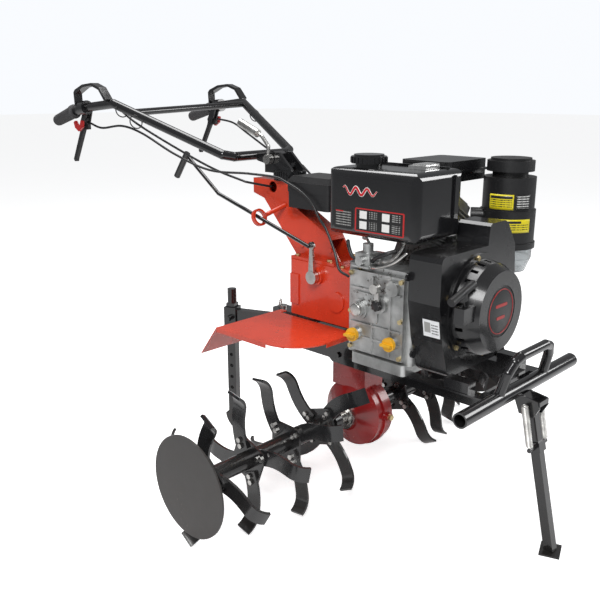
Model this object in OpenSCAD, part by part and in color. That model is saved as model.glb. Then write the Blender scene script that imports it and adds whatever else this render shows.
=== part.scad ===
// Walk-behind rotary tiller with a gear drive and an upright single-cylinder engine.
// +Z is up and -Y is forward. The origin is on the ground, at the middle of the whole length.

/* [Rotor] */
// Radius swept by the tine tips
tine_r = 180; // [176:1:190]
// Height of the rotor axle with two tine tips of each half on the ground
axle_z = 170; // [168:0.5:176]
// Distance from the machine's middle to each end disc
end_disc_x = 566; // [560:1:580]
// Radius of the end discs
disc_r = 115; // [90:1:125]
// Distance from the middle to the innermost tine plate
first_plate_x = 150; // [140:1:160]
// Distance between tine plates
plate_step = 122; // [110:1:124]
// Width of a tine blade
blade_w = 38; // [30:1:42]

/* [Engine] */
// Height of the crankshaft
crank_z = 519; // [515:1:525]
// Half the width of the sheet cowl around the fan
cowl_half = 150; // [147:1:152]
// Radius of the starter housing's front face
starter_r = 90; // [84:1:94]
// Radius of the air cleaner's body
cleaner_r = 64; // [58:1:66]
// Length of the fuel tank along the crankshaft
tank_len = 250; // [240:1:254]
// Height of the fuel tank
tank_h = 152; // [140:1:154]

/* [Handlebar] */
// Outside radius of the handlebar tube
bar_r = 12.5; // [11:0.5:14]
// Half the width between the grips
grip_half = 256; // [240:1:270]
// Length of a rubber grip
grip_len = 108; // [100:1:114]

/* [Frame] */
// Outside radius of the front bumper tube
bumper_r = 16.5; // [15:0.5:18]
// Half the length of the bumper tube
bumper_half = 242; // [225:1:260]
// Height of the bumper tube's axis
bumper_z = 360; // [356:1:364]
// Side of the square depth bar
depth_bar_w = 26; // [22:1:27]
// How far the depth bar's holder is swung to the side
holder_swing = 22; // [0:1:25]

/* [Hidden] */
$fn = 64;
red = [0.78, 0.14, 0.09];
black = [0.07, 0.07, 0.08];
dark_rubber = [0.1, 0.1, 0.11];
bare_steel = [0.6, 0.61, 0.63];
cast_metal = [0.66, 0.67, 0.67];
gold = [0.75, 0.62, 0.3];
yellow = [0.85, 0.65, 0.12];
clear_blue = [0.8, 0.86, 0.88, 0.5];
gap = 0.3;
running = 0.05;

// Rotor places
plates = 4;
blades_per_plate = 4;
phase_step = 19.3;
first_phase = 4.7;
// Distance from the rotor axle back to the middle of the whole length
middle_y = 211;
plate_t = 6;
shaft_r = 15;
blade_root = 27;
blade_t = 6;
sweep_r = 150;
sweep_turn = 36;
shank_tail = 10;
scoop_r = 38;
scoop_turn = 66;
tube_r = 21;
tube_bore = 16.6;
tube_start = 92;
hub_r = 88;
hub_half = 28;
cone_end = 56;

small_teeth = 8;
small_r = 16;
tooth_t = 3.4;
hub_gear_teeth = 32;
top_gear_teeth = 16;

// Gearbox places
case_front = -34;
case_rear = 197;
case_half = 62;
case_low = 410;
case_top = 549;
lid_top = 557;
wall = 10;
front_bearing_r = 13;
top_gear_z = 489;
housing_bolts_r = 92;

// Engine places
engine_rear = -60;
engine_front = -250;
case_left = -128;
case_right = 110;
base_z = 364;
plugs_y = [-99, -205];
plugs_z = 436;
cylinder_tilt = 30;
cylinder_y = -165;
cowl_front = -332;
starter_front = -391;
rope_way = [-0.3, 0, sqrt(1 - 0.3 * 0.3)];
rope_exit = [-123, cowl_front - 40, 557];
tank_left = -150;
tank_seam = -14;
tank_right = 26;
tank_rear = -14;
tank_low = 665;
cleaner = [232, -262];
cleaner_top = 828;

// Column, swivel and handlebar places
swivel_y = 255;
tilt_axis = [0, 300, 806];
cross_y = 368;
cross_z = 812;
corner_x = 96;
bend = [240, 706, 946];
droop = [252, 856, 932];
grip_end = [grip_half, 996, 893];
lever_pivot = [240, 866, 884];
lever_tip = [240, 930, 778];

// Front frame places
rail_x = 100;
rail_w = 32;
rail_low = 328;
rail_top = base_z - gap;
bumper_y = -451;
stand_pivot = [0, -480, 322];
foot_at = [0, -553, 4];

// Hitch places
hitch_y = 285;
holder_reach = 160;
holder_low = 319;
holder_high = 379;

// A round bar between two points
module rod(p, q, r) {
    v = q - p;
    translate(p)
        rotate([0, acos(v[2] / norm(v)), atan2(v[1], v[0])])
            cylinder(r = r, h = norm(v));
}

// A round bar through a list of points, with a slightly thicker ball at every corner
module pipe(points, r) {
    for (i = [0:len(points) - 2])
        rod(points[i], points[i + 1], r);
    for (i = [1:len(points) - 2])
        translate(points[i])
            sphere(r = 1.03 * r);
}

// A cylinder lying along X, its middle at the given point
module disc_x(at, r, h) {
    translate(at)
        rotate([0, 90, 0])
            cylinder(r = r, h = h, center = true);
}

// A cylinder lying along Y between two values of y
module disc_y(x, z, from, to, r) {
    translate([x, from, z])
        rotate([-90, 0, 0])
            cylinder(r = r, h = to - from);
}

// A cylinder lying along Z between two heights
module disc_z(x, y, from, to, r) {
    translate([x, y, from])
        cylinder(r = r, h = to - from);
}

// A block between two corners
module block(low, high) {
    translate(low)
        cube(high - low);
}

// A side outline in the YZ plane, made into a plate between two values of x
module side_plate(x_from, x_to, outline) {
    translate([x_from, 0, 0])
        rotate([90, 0, 90])
            linear_extrude(x_to - x_from)
                polygon(outline);
}

// A block whose upright edges are rounded
module upright_block(low, high, r) {
    size = high - low;
    translate(low) {
        translate([r, 0, 0])
            cube([size[0] - 2 * r, size[1], size[2]]);
        translate([0, r, 0])
            cube([size[0], size[1] - 2 * r, size[2]]);
        for (x = [r, size[0] - r], y = [r, size[1] - r])
            translate([x, y, 0])
                cylinder(r = r, h = size[2]);
    }
}

// A block with every edge rounded: the part common to three rounded bars along X, Y and Z
module soft_block(low, high, r) {
    size = high - low;
    intersection() {
        upright_block(low, high, r);
        translate(low)
            multmatrix([[0, 0, 1, 0], [1, 0, 0, 0], [0, 1, 0, 0]])
                upright_block([0, 0, 0], [size[1], size[2], size[0]], r);
        translate(low)
            multmatrix([[0, 1, 0, 0], [0, 0, 1, 0], [1, 0, 0, 0]])
                upright_block([0, 0, 0], [size[2], size[0], size[1]], r);
    }
}

// A copy on the machine's other side as well
module both_sides() {
    children();
    mirror([1, 0, 0])
        children();
}

// A hexagon bolt head or nut on the plane z = 0, pointing up
module hex_head(r, h) {
    cylinder(r = r, h = h, $fn = 6);
}

// A hexagon head on a plane that faces +X or -X
module hex_x(at, way, r, h) {
    translate(at)
        rotate([0, 90 * way, 0])
            hex_head(r, h);
}

// A straight spur gear on the plane z = 0, with plain straight-sided teeth
module spur(teeth, pitch_r, h) {
    cylinder(r = pitch_r - 3.5, h = h);
    for (i = [0:teeth - 1])
        rotate([0, 0, i * 360 / teeth])
            translate([pitch_r - 5, -tooth_t / 2, 0.5])
                cube([7.6, tooth_t, h - 1]);
}

// Teeth standing up on the face of a disc, half a step away from the direction of +X
module face_teeth(teeth, r_in, r_out, h) {
    for (i = [0:teeth - 1])
        rotate([0, 0, (i + 0.5) * 360 / teeth])
            translate([r_in, -tooth_t / 2, 0])
                cube([r_out - r_in, tooth_t, h]);
}

// A point on a smooth curve through four neighbouring points, t running from 0 to 1
function curve(a, b, c, d, t) =
    0.5 * (2 * b + (c - a) * t + (2 * a - 5 * b + 4 * c - d) * t * t
        + (3 * b - a - 3 * c + d) * t * t * t);

// The smooth curve through a list of points, with some steps in every span
function smooth(p, steps) = [
    for (i = [0:len(p) - 2], s = [0:steps - 1])
        curve(p[max(i - 1, 0)], p[i], p[i + 1], p[min(i + 2, len(p) - 1)], s / steps),
    p[len(p) - 1]
];

function unit(v) = v / norm(v);

// A round cord along a list of points, with eight sides
module cord(points, r) {
    sides = 8;
    n = len(points);
    rings = [
        for (i = [0:n - 1])
            let (along = unit(points[min(i + 1, n - 1)] - points[max(i - 1, 0)]))
            let (side = unit(cross(along, [0.31, 0.17, 0.93])))
            let (up = cross(side, along))
            for (k = [0:sides - 1])
                points[i] + r * (cos(k * 360 / sides) * side + sin(k * 360 / sides) * up)
    ];
    walls = [
        for (i = [0:n - 2], k = [0:sides - 1])
            let (next = (k + 1) % sides)
            each [
                [i * sides + k, i * sides + next, (i + 1) * sides + next],
                [i * sides + k, (i + 1) * sides + next, (i + 1) * sides + k]
            ]
    ];
    start_cap = [for (k = [0:sides - 1]) sides - 1 - k];
    end_cap = [for (k = [0:sides - 1]) (n - 1) * sides + k];
    polyhedron(rings, concat(walls, [start_cap, end_cap]));
}

// ---------------------------------------------------------------- gearbox

// Upper box, leg and the drum that holds the hub gear, in one casting
module gearbox_case() {
    color(red)
    difference() {
        union() {
            upright_block([-case_half, case_front, case_low], [case_half, case_rear, case_top], 12);
            block([-36, -46, 240], [36, 62, case_low + 5]);
            disc_x([0, 0, axle_z], hub_r, 2 * hub_half);
            disc_x([0, 0, axle_z], hub_r + 5, 14);
            both_sides()
                translate([hub_half, 0, axle_z])
                    rotate([0, 90, 0])
                        cylinder(r1 = hub_r, r2 = 40, h = cone_end - hub_half);
            disc_y(0, axle_z + 8, -hub_r - 14, -hub_r + 6, 12);
            disc_x([-case_half - 4, 97, 526], 22, 10);
            disc_x([-case_half - 2, 30, 470], 26, 6);
            block([-case_half - 4, 160, 440], [-case_half + 4, 190, 520]);
        }
        block([-case_half + wall, case_front + wall, case_low + wall], [case_half - wall, 40, case_top + 1]);
        block([-case_half + wall, 52, case_low + wall], [case_half - wall, case_rear - wall, case_top + 1]);
        disc_z(0, 0, 235, case_low + wall + 1, 24);
        disc_x([0, 0, axle_z], 76, 2 * hub_half + 8);
        disc_x([0, 0, axle_z], 32, 2 * cone_end + 2);
        disc_y(0, crank_z, case_front - 1, case_front + wall + 1, front_bearing_r);
        disc_y(0, crank_z, 39, 53, 18);
        disc_x([-case_half - 8, 97, 526], 12.6, 40);
        top_gear_window();
    }
}

// Room for the upright shaft's top gear where it reaches through the case's front wall
module top_gear_window() {
    disc_z(0, 0, top_gear_z - 2, top_gear_z + 18, 38.5);
}

// Flat lid of the upper box
module gearbox_lid() {
    color(red)
        upright_block([-case_half, case_front, case_top], [case_half, case_rear, lid_top], 12);
}

// Ring-shaped housing that bolts the gearbox to the back of the engine
module clutch_housing() {
    color(red)
    difference() {
        union() {
            disc_y(0, crank_z, engine_rear + 1, case_front, 82);
            for (a = [45:90:315])
                rotate_about_crank(a)
                    disc_y(housing_bolts_r, 0, engine_rear + 1, engine_rear + 9, 12);
        }
        disc_y(0, crank_z, engine_rear, case_front - 5, 72);
        disc_y(0, crank_z, case_front - 6, case_front + 1, 20);
        top_gear_window();
    }
}

module rotate_about_crank(a) {
    translate([0, 0, crank_z])
        rotate([0, a, 0])
            children();
}

// Steel flange rings that hold the oil seals on both sides of the hub
module hub_seals() {
    color(bare_steel)
    both_sides()
        difference() {
            union() {
                disc_x([cone_end + 5.2, 0, axle_z], 34, 10);
                disc_x([cone_end + 12, 0, axle_z], 25, 8);
                for (a = [0:60:300])
                    translate([cone_end + 10, 0, axle_z])
                        rotate([a, 0, 0])
                            hex_x([0, 0, 29.5], 1, 3.8, 3);
            }
            disc_x([cone_end + 8, 0, axle_z], shaft_r + 0.5, 30);
        }
}

// Ball bearings of the rotor shaft, the upright shaft and the input shaft
module shaft_bearings() {
    color(bare_steel) {
        both_sides()
            ring_x([46, 0, axle_z], 32, shaft_r + running, 16);
        for (z = [262, 400])
            difference() {
                disc_z(0, 0, z, z + 14, 24);
                disc_z(0, 0, z - 1, z + 15, 10 + running);
            }
        ring_y(case_front, case_front + wall, front_bearing_r);
        ring_y(40, 52, 18);
    }
}

module ring_x(at, r, bore, h) {
    difference() {
        disc_x(at, r, h);
        disc_x(at, bore, h + 2);
    }
}

module ring_y(from, to, r) {
    difference() {
        disc_y(0, crank_z, from, to, r);
        disc_y(0, crank_z, from - 1, to + 1, 9 + running);
    }
}

// ---------------------------------------------------------------- rotor

// Round axle through the hub with a hexagon on each end for the tine tubes
module rotor_shaft() {
    color(bare_steel) {
        disc_x([0, 0, axle_z], shaft_r, 2 * 84);
        both_sides()
            translate([84, 0, axle_z])
                rotate([0, 90, 0])
                    cylinder(r = 15.8, h = 90, $fn = 6);
    }
}

// Large face gear in the hub, driven by the small gear on the upright shaft
module hub_gear() {
    color(bare_steel)
    translate([0, 0, axle_z])
        rotate([0, -90, 0])
            difference() {
                union() {
                    translate([0, 0, -30])
                        cylinder(r = 72, h = 10);
                    translate([0, 0, -37])
                        cylinder(r = 26, h = 8);
                    translate([0, 0, -20])
                        face_teeth(hub_gear_teeth, 57, 71, 6.4);
                }
                translate([0, 0, -40])
                    cylinder(r = shaft_r, h = 30);
            }
}

function plate_x(i) = first_plate_x + i * plate_step;
function plate_phase(i) = first_phase + (plates - 1 - i) * phase_step;

// Tube of each rotor half, its four square blade plates and a collar for the locking pin
module tine_tubes() {
    color(black)
    both_sides()
    difference() {
        union() {
            translate([tube_start, 0, axle_z])
                rotate([0, 90, 0])
                    cylinder(r = tube_r, h = end_disc_x - tube_start - 8);
            disc_x([tube_start + 14, 0, axle_z], tube_r + 6, 24);
            for (i = [0:plates - 1])
                translate([plate_x(i), 0, axle_z])
                    rotate([-plate_phase(i), 0, 0])
                        rotate([0, 90, 0])
                            intersection() {
                                translate([0, 0, -plate_t / 2])
                                    rotate([0, 0, 45])
                                        cube([92, 92, 2 * plate_t], center = true);
                                translate([0, 0, -plate_t / 2])
                                    cylinder(r = 60, h = plate_t);
                            }
        }
        translate([tube_start - 1, 0, axle_z])
            rotate([0, 90, 0])
                cylinder(r = tube_bore, h = end_disc_x - tube_start - 12);
    }
}

// The middle line of a blade's flat shank, which sweeps along an arc, and its direction there
function sweep_at(a) = [-sweep_r * (1 - cos(a)), blade_root + sweep_r * sin(a)];
function sweep_side(a) = [cos(a), sin(a)];
function sweep_along(a) = [-sin(a), cos(a)];

// One curved blade at the top of a plate: a flat swept shank, then a scoop that turns towards +X
module blade() {
    half = blade_w / 2;
    last = sweep_at(sweep_turn) + shank_tail * sweep_along(sweep_turn);
    intersection() {
        union() {
            side_plate(plate_t / 2 + gap, plate_t / 2 + gap + blade_t, [
                for (i = [0:5]) sweep_at(i * sweep_turn / 5) + half * sweep_side(i * sweep_turn / 5),
                last + half * sweep_side(sweep_turn),
                last - half * sweep_side(sweep_turn),
                for (i = [5:-1:0]) sweep_at(i * sweep_turn / 5) - half * sweep_side(i * sweep_turn / 5)
            ]);
            translate([plate_t / 2 + gap + blade_t + scoop_r, last[0], last[1]])
                rotate([sweep_turn, 0, 0])
                    rotate([90, 0, 0])
                        rotate([0, 0, 180 - scoop_turn])
                            rotate_extrude(angle = scoop_turn)
                                translate([scoop_r, -half])
                                    square([blade_t, blade_w]);
        }
        rotate([0, 90, 0])
            cylinder(r = tine_r, h = 120, $fn = 128);
    }
}

// Sixteen blades of each rotor half, turned alternately to the left and to the right
module tines() {
    color(black)
    both_sides()
    for (i = [0:plates - 1], k = [0:blades_per_plate - 1])
        translate([plate_x(i), 0, axle_z])
            rotate([-(plate_phase(i) + k * 360 / blades_per_plate), 0, 0])
                mirror([k % 2, 0, 0])
                    blade();
}

// Plain round end discs with a welded boss
module end_discs() {
    color([0.2, 0.18, 0.17])
    both_sides() {
        disc_x([end_disc_x, 0, axle_z], disc_r, 4);
        disc_x([end_disc_x - 5, 0, axle_z], tube_r + 5, 6);
    }
}

// Bolt heads and nuts on both faces of every blade plate
module tine_bolts() {
    color(bare_steel)
    both_sides()
        for (i = [0:plates - 1], k = [0:blades_per_plate - 1])
            translate([plate_x(i), 0, axle_z])
                rotate([-(plate_phase(i) + k * 360 / blades_per_plate), 0, 0])
                    mirror([k % 2, 0, 0])
                        for (z = [36, 50]) {
                            hex_x([plate_t / 2 + blade_t + 2 * gap, 4 - z / 8, z], 1, 6.5, 5);
                            hex_x([-plate_t / 2 - gap, 4 - z / 8, z], -1, 6.5, 5);
                        }
}

// ---------------------------------------------------------------- drive line

// Upright shaft with its small gear in the hub and its face gear in the upper box
module upright_shaft() {
    color(bare_steel) {
        disc_z(0, 0, 226, 492, 10);
        translate([0, 0, axle_z + 57])
            spur(small_teeth, small_r, 14);
        translate([0, 0, top_gear_z]) {
            cylinder(r = 37, h = 10);
            translate([0, 0, 10])
                rotate([0, 0, 90])
                    face_teeth(top_gear_teeth, 28, 36, 6.4);
        }
    }
}

// Input shaft with the clutch's inner plates in front and a small gear behind
module input_shaft() {
    color(bare_steel) {
        disc_y(0, crank_z, -50, 52, 9);
        disc_y(0, crank_z, -50, -43, 50);
        translate([0, 36, crank_z])
            rotate([90, 0, 0])
                rotate([0, 0, -90])
                    spur(small_teeth, small_r, 8);
    }
}

// Clutch cup on the end of the crankshaft
module clutch_drum() {
    color(bare_steel)
    difference() {
        disc_y(0, crank_z, -58, -41, 64);
        disc_y(0, crank_z, -52, -40, 56);
        disc_y(0, crank_z, -59, -51, 12.5 + 2 * running);
    }
}

// Crankshaft with its two round webs and the crank pin between them
module crankshaft() {
    color(bare_steel) {
        disc_y(0, crank_z, -138, -53, 12.5);
        disc_y(0, crank_z, -336, -192, 15);
        for (y = [-156, -192])
            disc_y(0, crank_z, y, y + 18, 48);
        disc_y(0, crank_z + 28, -176, -154, 14);
    }
}

// Flywheel with the cooling fan's blades on its front
module flywheel() {
    color(cast_metal)
    difference() {
        union() {
            disc_y(0, crank_z, -296, -268, 112);
            for (a = [0:20:340])
                rotate_about_crank(a)
                    translate([70, -318, -2])
                        cube([44, 24, 4]);
            disc_y(0, crank_z, -332, -296, 46);
        }
        disc_y(0, crank_z, -340, -260, 15);
    }
}

// ---------------------------------------------------------------- engine

// Places its children on the leaning cylinder's axis, with the crankshaft at the origin
module leaning() {
    translate([0, cylinder_y, crank_z])
        rotate([0, cylinder_tilt, 0])
            children();
}

// Cast crankcase with its foot and the sloping seat of the cylinder
module crankcase() {
    color(cast_metal)
    difference() {
        union() {
            upright_block([case_left, engine_front, 386], [case_right, engine_rear, 600], 14);
            upright_block([case_left - 14, -240, base_z], [case_right + 14, -86, 390], 10);
            leaning()
                translate([-58, -60, 40])
                    cube([116, 120, 60]);
            disc_y(0, crank_z, engine_rear - 5, engine_rear, 80);
        }
        block([case_left + 10, engine_front + 10, 396], [case_right - 10, engine_rear - 10, 590]);
        leaning() {
            cylinder(r = 40, h = 140);
            translate([0, 0, 100])
                cylinder(r = 57, h = 100);
        }
        disc_y(0, crank_z, engine_rear - 11, engine_rear + 1, 12.5 + running);
        disc_y(0, crank_z, engine_front - 1, engine_front + 11, 15 + running);
        for (x = [-110, 92], y = [-224, -102])
            disc_z(x, y, base_z - 1, 397, 5.5);
    }
}

// Near side cover with its ribs, the round governor cap and the filler bosses
module side_cover() {
    color(cast_metal) {
        difference() {
            union() {
                block([case_left - 12, -232, 396], [case_left - gap, -78, 588]);
                for (z = [430, 462, 545])
                    block([case_left - 16, -226, z], [case_left - 11, -84, z + 5]);
                for (y = [-200, -150])
                    block([case_left - 16, y, 402], [case_left - 11, y + 5, 580]);
                disc_x([case_left - 13, -113, 500], 24, 18);
                disc_x([case_left - 14, -170, 520], 20, 16);
                disc_x([case_left - 14, -205, 562], 17, 14);
            }
            for (y = plugs_y)
                disc_x([case_left - 14, y, plugs_z], 9.2, 40);
        }
        for (y = plugs_y)
            difference() {
                disc_x([case_left - 14, y, plugs_z], 15, 12);
                disc_x([case_left - 12, y, plugs_z], 9.2, 26);
            }
    }
    color(bare_steel)
        disc_x([case_left - 25, -113, 500], 18, 8);
}

// Finned cylinder
module cylinder_block() {
    color(cast_metal)
    leaning()
        difference() {
            union() {
                translate([0, 0, 100 + gap])
                    cylinder(r = 47, h = 82 - gap);
                for (i = [0:7])
                    translate([0, 0, 106 + i * 9.5])
                        cylinder(r = 56, h = 3.5);
            }
            translate([0, 0, 90])
                cylinder(r = 39, h = 120);
        }
}

// Finned head with its inlet and exhaust ports
module cylinder_head() {
    color(cast_metal)
    leaning() {
        translate([-42, -44, 182 + gap])
            cube([84, 88, 38 - gap]);
        for (i = [0:3])
            translate([-56, -54, 184 + i * 9.5])
                cube([112, 108, 3.5]);
        translate([50, -18, 190])
            cube([12, 36, 26]);
    }
}

// Domed cover over the valve rockers
module rocker_cover() {
    color(cast_metal)
    leaning() {
        translate([-38, -40, 220 + gap])
            cube([76, 80, 22]);
        translate([-32, -34, 242])
            cube([64, 68, 6]);
        translate([0, 0, 247])
            hex_head(9, 8);
    }
}

// A closed outline listed clockwise, with its sides moved inwards
function inset(p, by) = [
    for (i = [0:len(p) - 1])
        let (before = unit(p[i] - p[(i + len(p) - 1) % len(p)]))
        let (after = unit(p[(i + 1) % len(p)] - p[i]))
        let (inward = [after[1], -after[0]])
        let (middle = unit(inward + [before[1], -before[0]]))
        p[i] + middle * by / (middle * inward)
];

// A plate with an outline in X and Z
module front_plate(y_from, y_to, outline) {
    translate([0, y_to, 0])
        rotate([90, 0, 0])
            linear_extrude(y_to - y_from)
                polygon(outline);
}

// Sheet cowl that leads the fan's air over the cylinder
module fan_cowl() {
    outline = [
        [-98, 378], [-108, 386], [-cowl_half + 16, 462], [-cowl_half, 547], [-cowl_half, 638],
        [-cowl_half + 4, 648], [-cowl_half + 14, 652], [30, 652], [34, 694], [42, 700], [100, 700],
        [112, 694], [cowl_half, 640], [cowl_half + 8, 573], [cowl_half - 9, 480], [108, 386], [98, 378]
    ];
    lugs = [[-cowl_half - 6, 600], [-128, 420], [128, 420], [cowl_half + 12, 580]];
    color(black) {
        difference() {
            front_plate(cowl_front, engine_front - gap, outline);
            front_plate(cowl_front + 4, engine_front + 1, inset(outline, 4));
            disc_y(0, crank_z, cowl_front - 1, cowl_front + 5, 92);
        }
        for (p = lugs)
            disc_y(p[0], p[1], engine_front - 6, engine_front - 1, 9);
    }
}

// Hand starter's housing: a flanged bowl with slots round its side and a recessed face
module starter_housing() {
    color(black)
    difference() {
        union() {
            disc_y(0, crank_z, cowl_front - 4.3, cowl_front - gap, 121);
            translate([0, cowl_front - 4, crank_z])
                rotate([90, 0, 0])
                    cylinder(r1 = 108, r2 = 103, h = 30);
            translate([0, cowl_front - 34, crank_z])
                rotate([90, 0, 0])
                    cylinder(r1 = 103, r2 = starter_r, h = cowl_front - 34 - starter_front);
            block([-136, cowl_front - 50, crank_z - 4], [-84, cowl_front - 26, crank_z + 30]);
        }
        disc_y(0, crank_z, starter_front + 4, cowl_front + 1, 84);
        disc_y(0, crank_z, cowl_front - 30, cowl_front + 1, 98);
        disc_y(0, crank_z, starter_front - 1, starter_front + 2, 58);
        for (a = [0:15:345])
            rotate_about_crank(a)
                block([80, cowl_front - 27, -4.5], [112, cowl_front - 10, 4.5]);
        rod(rope_exit - 50 * rope_way, rope_exit + 30 * rope_way, 4);
    }
}

// Pull grip of the starter with the first bit of its rope
module starter_grip() {
    middle = rope_exit + 26 * rope_way;
    along = [rope_way[2], 0, -rope_way[0]];
    color(black) {
        rod(middle - 43 * along, middle + 43 * along, 9);
        rod(middle - 16 * rope_way, middle, 10.5);
    }
    color(bare_steel)
        rod(rope_exit - 24 * rope_way, middle - 12 * rope_way, 2.5);
}

// Two-part pressed fuel tank with its seam flange and filler neck
module fuel_tank() {
    color(black)
    difference() {
        union() {
            soft_block([tank_left, tank_rear - tank_len, tank_low],
                [tank_right, tank_rear, tank_low + tank_h], 20);
            block([tank_seam - 2, tank_rear - tank_len - 5, tank_low + 12],
                [tank_seam + 2, tank_rear + 5, tank_low + tank_h - 12]);
            block([tank_seam - 2, tank_rear - tank_len + 14, tank_low - 4],
                [tank_seam + 2, tank_rear - 14, tank_low + tank_h + 4]);
            disc_z(-95, -90, tank_low + tank_h - 10, tank_low + tank_h + 8, 30);
        }
        soft_block([tank_left + 3, tank_rear - tank_len + 3, tank_low + 3],
            [tank_right - 3, tank_rear - 3, tank_low + tank_h - 3], 18);
        disc_z(-95, -90, tank_low + tank_h - 12, tank_low + tank_h + 9, 24);
    }
}

// Ribbed filler cap
module tank_cap() {
    top = tank_low + tank_h + 8;
    color(black) {
        disc_z(-95, -90, top + gap, top + 16, 40);
        disc_z(-95, -90, top + 15, top + 20, 34);
        disc_z(-95, -90, top - 12, top + 1, 22);
        for (a = [0:15:345])
            translate([-95, -90, top + 2])
                rotate([0, 0, a])
                    translate([39, -2, 0])
                        cube([3, 4, 12]);
    }
}

// Steel strap that holds the tank down, on its rubber pad
module tank_strap() {
    top = tank_low + tank_h + gap;
    color(dark_rubber)
        block([-78, -232, top], [-26, -186, top + 8]);
    color(bare_steel) {
        block([-70, -226, top + 8], [-22, -192, top + 11]);
        block([-22, -226, top], [-19, -192, top + 11]);
    }
}

// Round cleaner housing with its neck, its cap and the pipe to the inlet port
module air_cleaner() {
    x = cleaner[0];
    y = cleaner[1];
    color(black) {
        difference() {
            union() {
                disc_z(x, y, 622, 706, cleaner_r + 2);
                disc_z(x, y, 704, 784, cleaner_r - 2);
                disc_z(x, y, 614, 628, cleaner_r + 5);
                disc_z(x, y, 780, 798, 42);
            }
            disc_z(x, y, 613, 778, cleaner_r - 6);
        }
        disc_z(x, y, 797, 822, 56);
        disc_z(x, y, 821, cleaner_top, 48);
        difference() {
            rod([172, -196, 690], [190, -222, 690], 18);
            disc_z(x, y, 640, 740, cleaner_r - 3);
        }
    }
}

// Clear oil bowl below the cleaner
module cleaner_bowl() {
    x = cleaner[0];
    y = cleaner[1];
    color(clear_blue)
    difference() {
        union() {
            disc_z(x, y, 590, 613.7, cleaner_r - 1);
            translate([x, y, 556])
                cylinder(r1 = 50, r2 = cleaner_r - 1, h = 34);
        }
        disc_z(x, y, 588, 615, cleaner_r - 4);
        translate([x, y, 559])
            cylinder(r1 = 47, r2 = cleaner_r - 4, h = 31);
    }
}

// Filter ring inside the cleaner
module air_filter() {
    color(gold)
    difference() {
        disc_z(cleaner[0], cleaner[1], 640, 770, 50);
        disc_z(cleaner[0], cleaner[1], 639, 771, 24);
    }
}

// Box muffler behind the tank with its pipe down to the head and a short outlet
module muffler() {
    color(black) {
        upright_block([75, -188, 772], [250, -50, 821], 14);
        upright_block([70, -193, 794], [255, -45, 799], 16);
        rod([140, -140, 744], [140, -140, 775], 14);
        rod([232, -58, 792], [266, -40, 788], 13);
    }
    color(bare_steel)
        block([40, -188, 780], [75, -150, 786]);
}

// Injection pump on the near side of the engine, under the tank
module injection_pump() {
    color(cast_metal) {
        block([case_left - 34, -150, 600 + gap], [case_left + 20, -100, 605]);
        block([case_left - 26, -146, 604], [case_left + 14, -104, 632]);
    }
    color(bare_steel) {
        disc_z(case_left - 6, -125, 632, 652, 12);
        disc_x([case_left - 32, -125, 616], 10, 14);
        disc_y(case_left - 6, 616, -164, -145, 8);
    }
}

// Steel delivery pipe to the injector and the rubber hose from the tank
module fuel_pipes() {
    delivery = [
        [-134, -125, 655.5], [-134, -125, 657], [-118, -108, 657], [-60, -50, 646],
        [20, -6, 655], [70, -20, 690], [88, -60, 712], [88, -100, 728]
    ];
    hose = [
        [-110, -205, 663.5], [-112, -205, 650], [-124, -195, 628], [-134, -180, 618],
        [-134, -165, 616]
    ];
    color(bare_steel)
        cord(smooth(delivery, 6), 3);
    color(dark_rubber)
        cord(smooth(hose, 5), 4.5);
}

// Two yellow oil plugs on the side cover
module oil_plugs() {
    color(yellow)
    for (y = plugs_y) {
        disc_x([case_left - 14, y, plugs_z], 9, 24);
        disc_x([case_left - 25, y, plugs_z], 16, 9);
        block([case_left - 40, y - 14, plugs_z - 3], [case_left - 28, y + 14, plugs_z + 3]);
    }
}

// Engine speed lever with its black knob
module speed_lever() {
    color(bare_steel) {
        disc_x([case_left - 25, -170, 520], 8, 6);
        block([case_left - 30, -176, 514], [case_left - 26, -164, 566]);
    }
    color(black)
        disc_x([case_left - 34, -170, 560], 11, 16);
}

// Hexagon bolts of the lid, the leg, the cowl, the side cover and the column
module case_bolts() {
    color(bare_steel) {
        for (x = [-50, 50], y = [case_front + 14, 22])
            translate([x, y, lid_top + gap])
                hex_head(7, 5);
        for (x = [-46, 46], y = [70, 180])
            translate([x, y, lid_top + 8 + gap])
                hex_head(7, 5);
        for (y = [-226, -84], z = [404, 490, 580])
            hex_x([case_left - 12 - gap, y, z], -1, 6, 5);
        for (a = [45:90:315])
            rotate_about_crank(a)
                translate([housing_bolts_r, engine_rear + 9 + gap, 0])
                    rotate([-90, 0, 0])
                        hex_head(7, 6);
        translate([0, -hub_r - 14 - gap, axle_z + 8])
            rotate([90, 0, 0])
                hex_head(8, 6);
    }
    color(gold)
        for (a = [20:60:320])
            rotate_about_crank(a)
                translate([115, cowl_front - 4.3 - gap, 0])
                    rotate([90, 0, 0])
                        hex_head(6, 5);
}

// ---------------------------------------------------------------- fenders

fender_in = 40;
fender_out = 272;
fender_z = 400;
fender_t = 3;
fender_front = -34;
fender_rear = 250;

// Flat fender over each rotor half with a round front corner, a rim and a sloping rear flap
module fender_plates() {
    corner = 104;
    color(red)
    both_sides()
    difference() {
        union() {
            translate([0, 0, fender_z])
                linear_extrude(fender_t)
                    polygon([
                        [fender_in, fender_rear],
                        [fender_out, fender_rear],
                        for (a = [0:-5:-90])
                            [fender_out - corner + corner * cos(a), fender_front + corner + corner * sin(a)],
                        [fender_in, fender_front]
                    ]);
            side_plate(fender_in, fender_out, [
                [fender_rear - 3, fender_z + fender_t], [fender_rear, fender_z + fender_t],
                [fender_rear + 66, fender_z - 82], [fender_rear + 63, fender_z - 82]
            ]);
            block([fender_out - 2, fender_front + corner, fender_z - 9],
                [fender_out, fender_rear, fender_z + fender_t]);
            block([fender_in, fender_front, fender_z - 9],
                [fender_out - corner, fender_front + 2, fender_z + fender_t]);
        }
        block([0, -60, fender_z - 20], [case_half + 1.5, fender_rear - 20, fender_z + 20]);
    }
}

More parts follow.
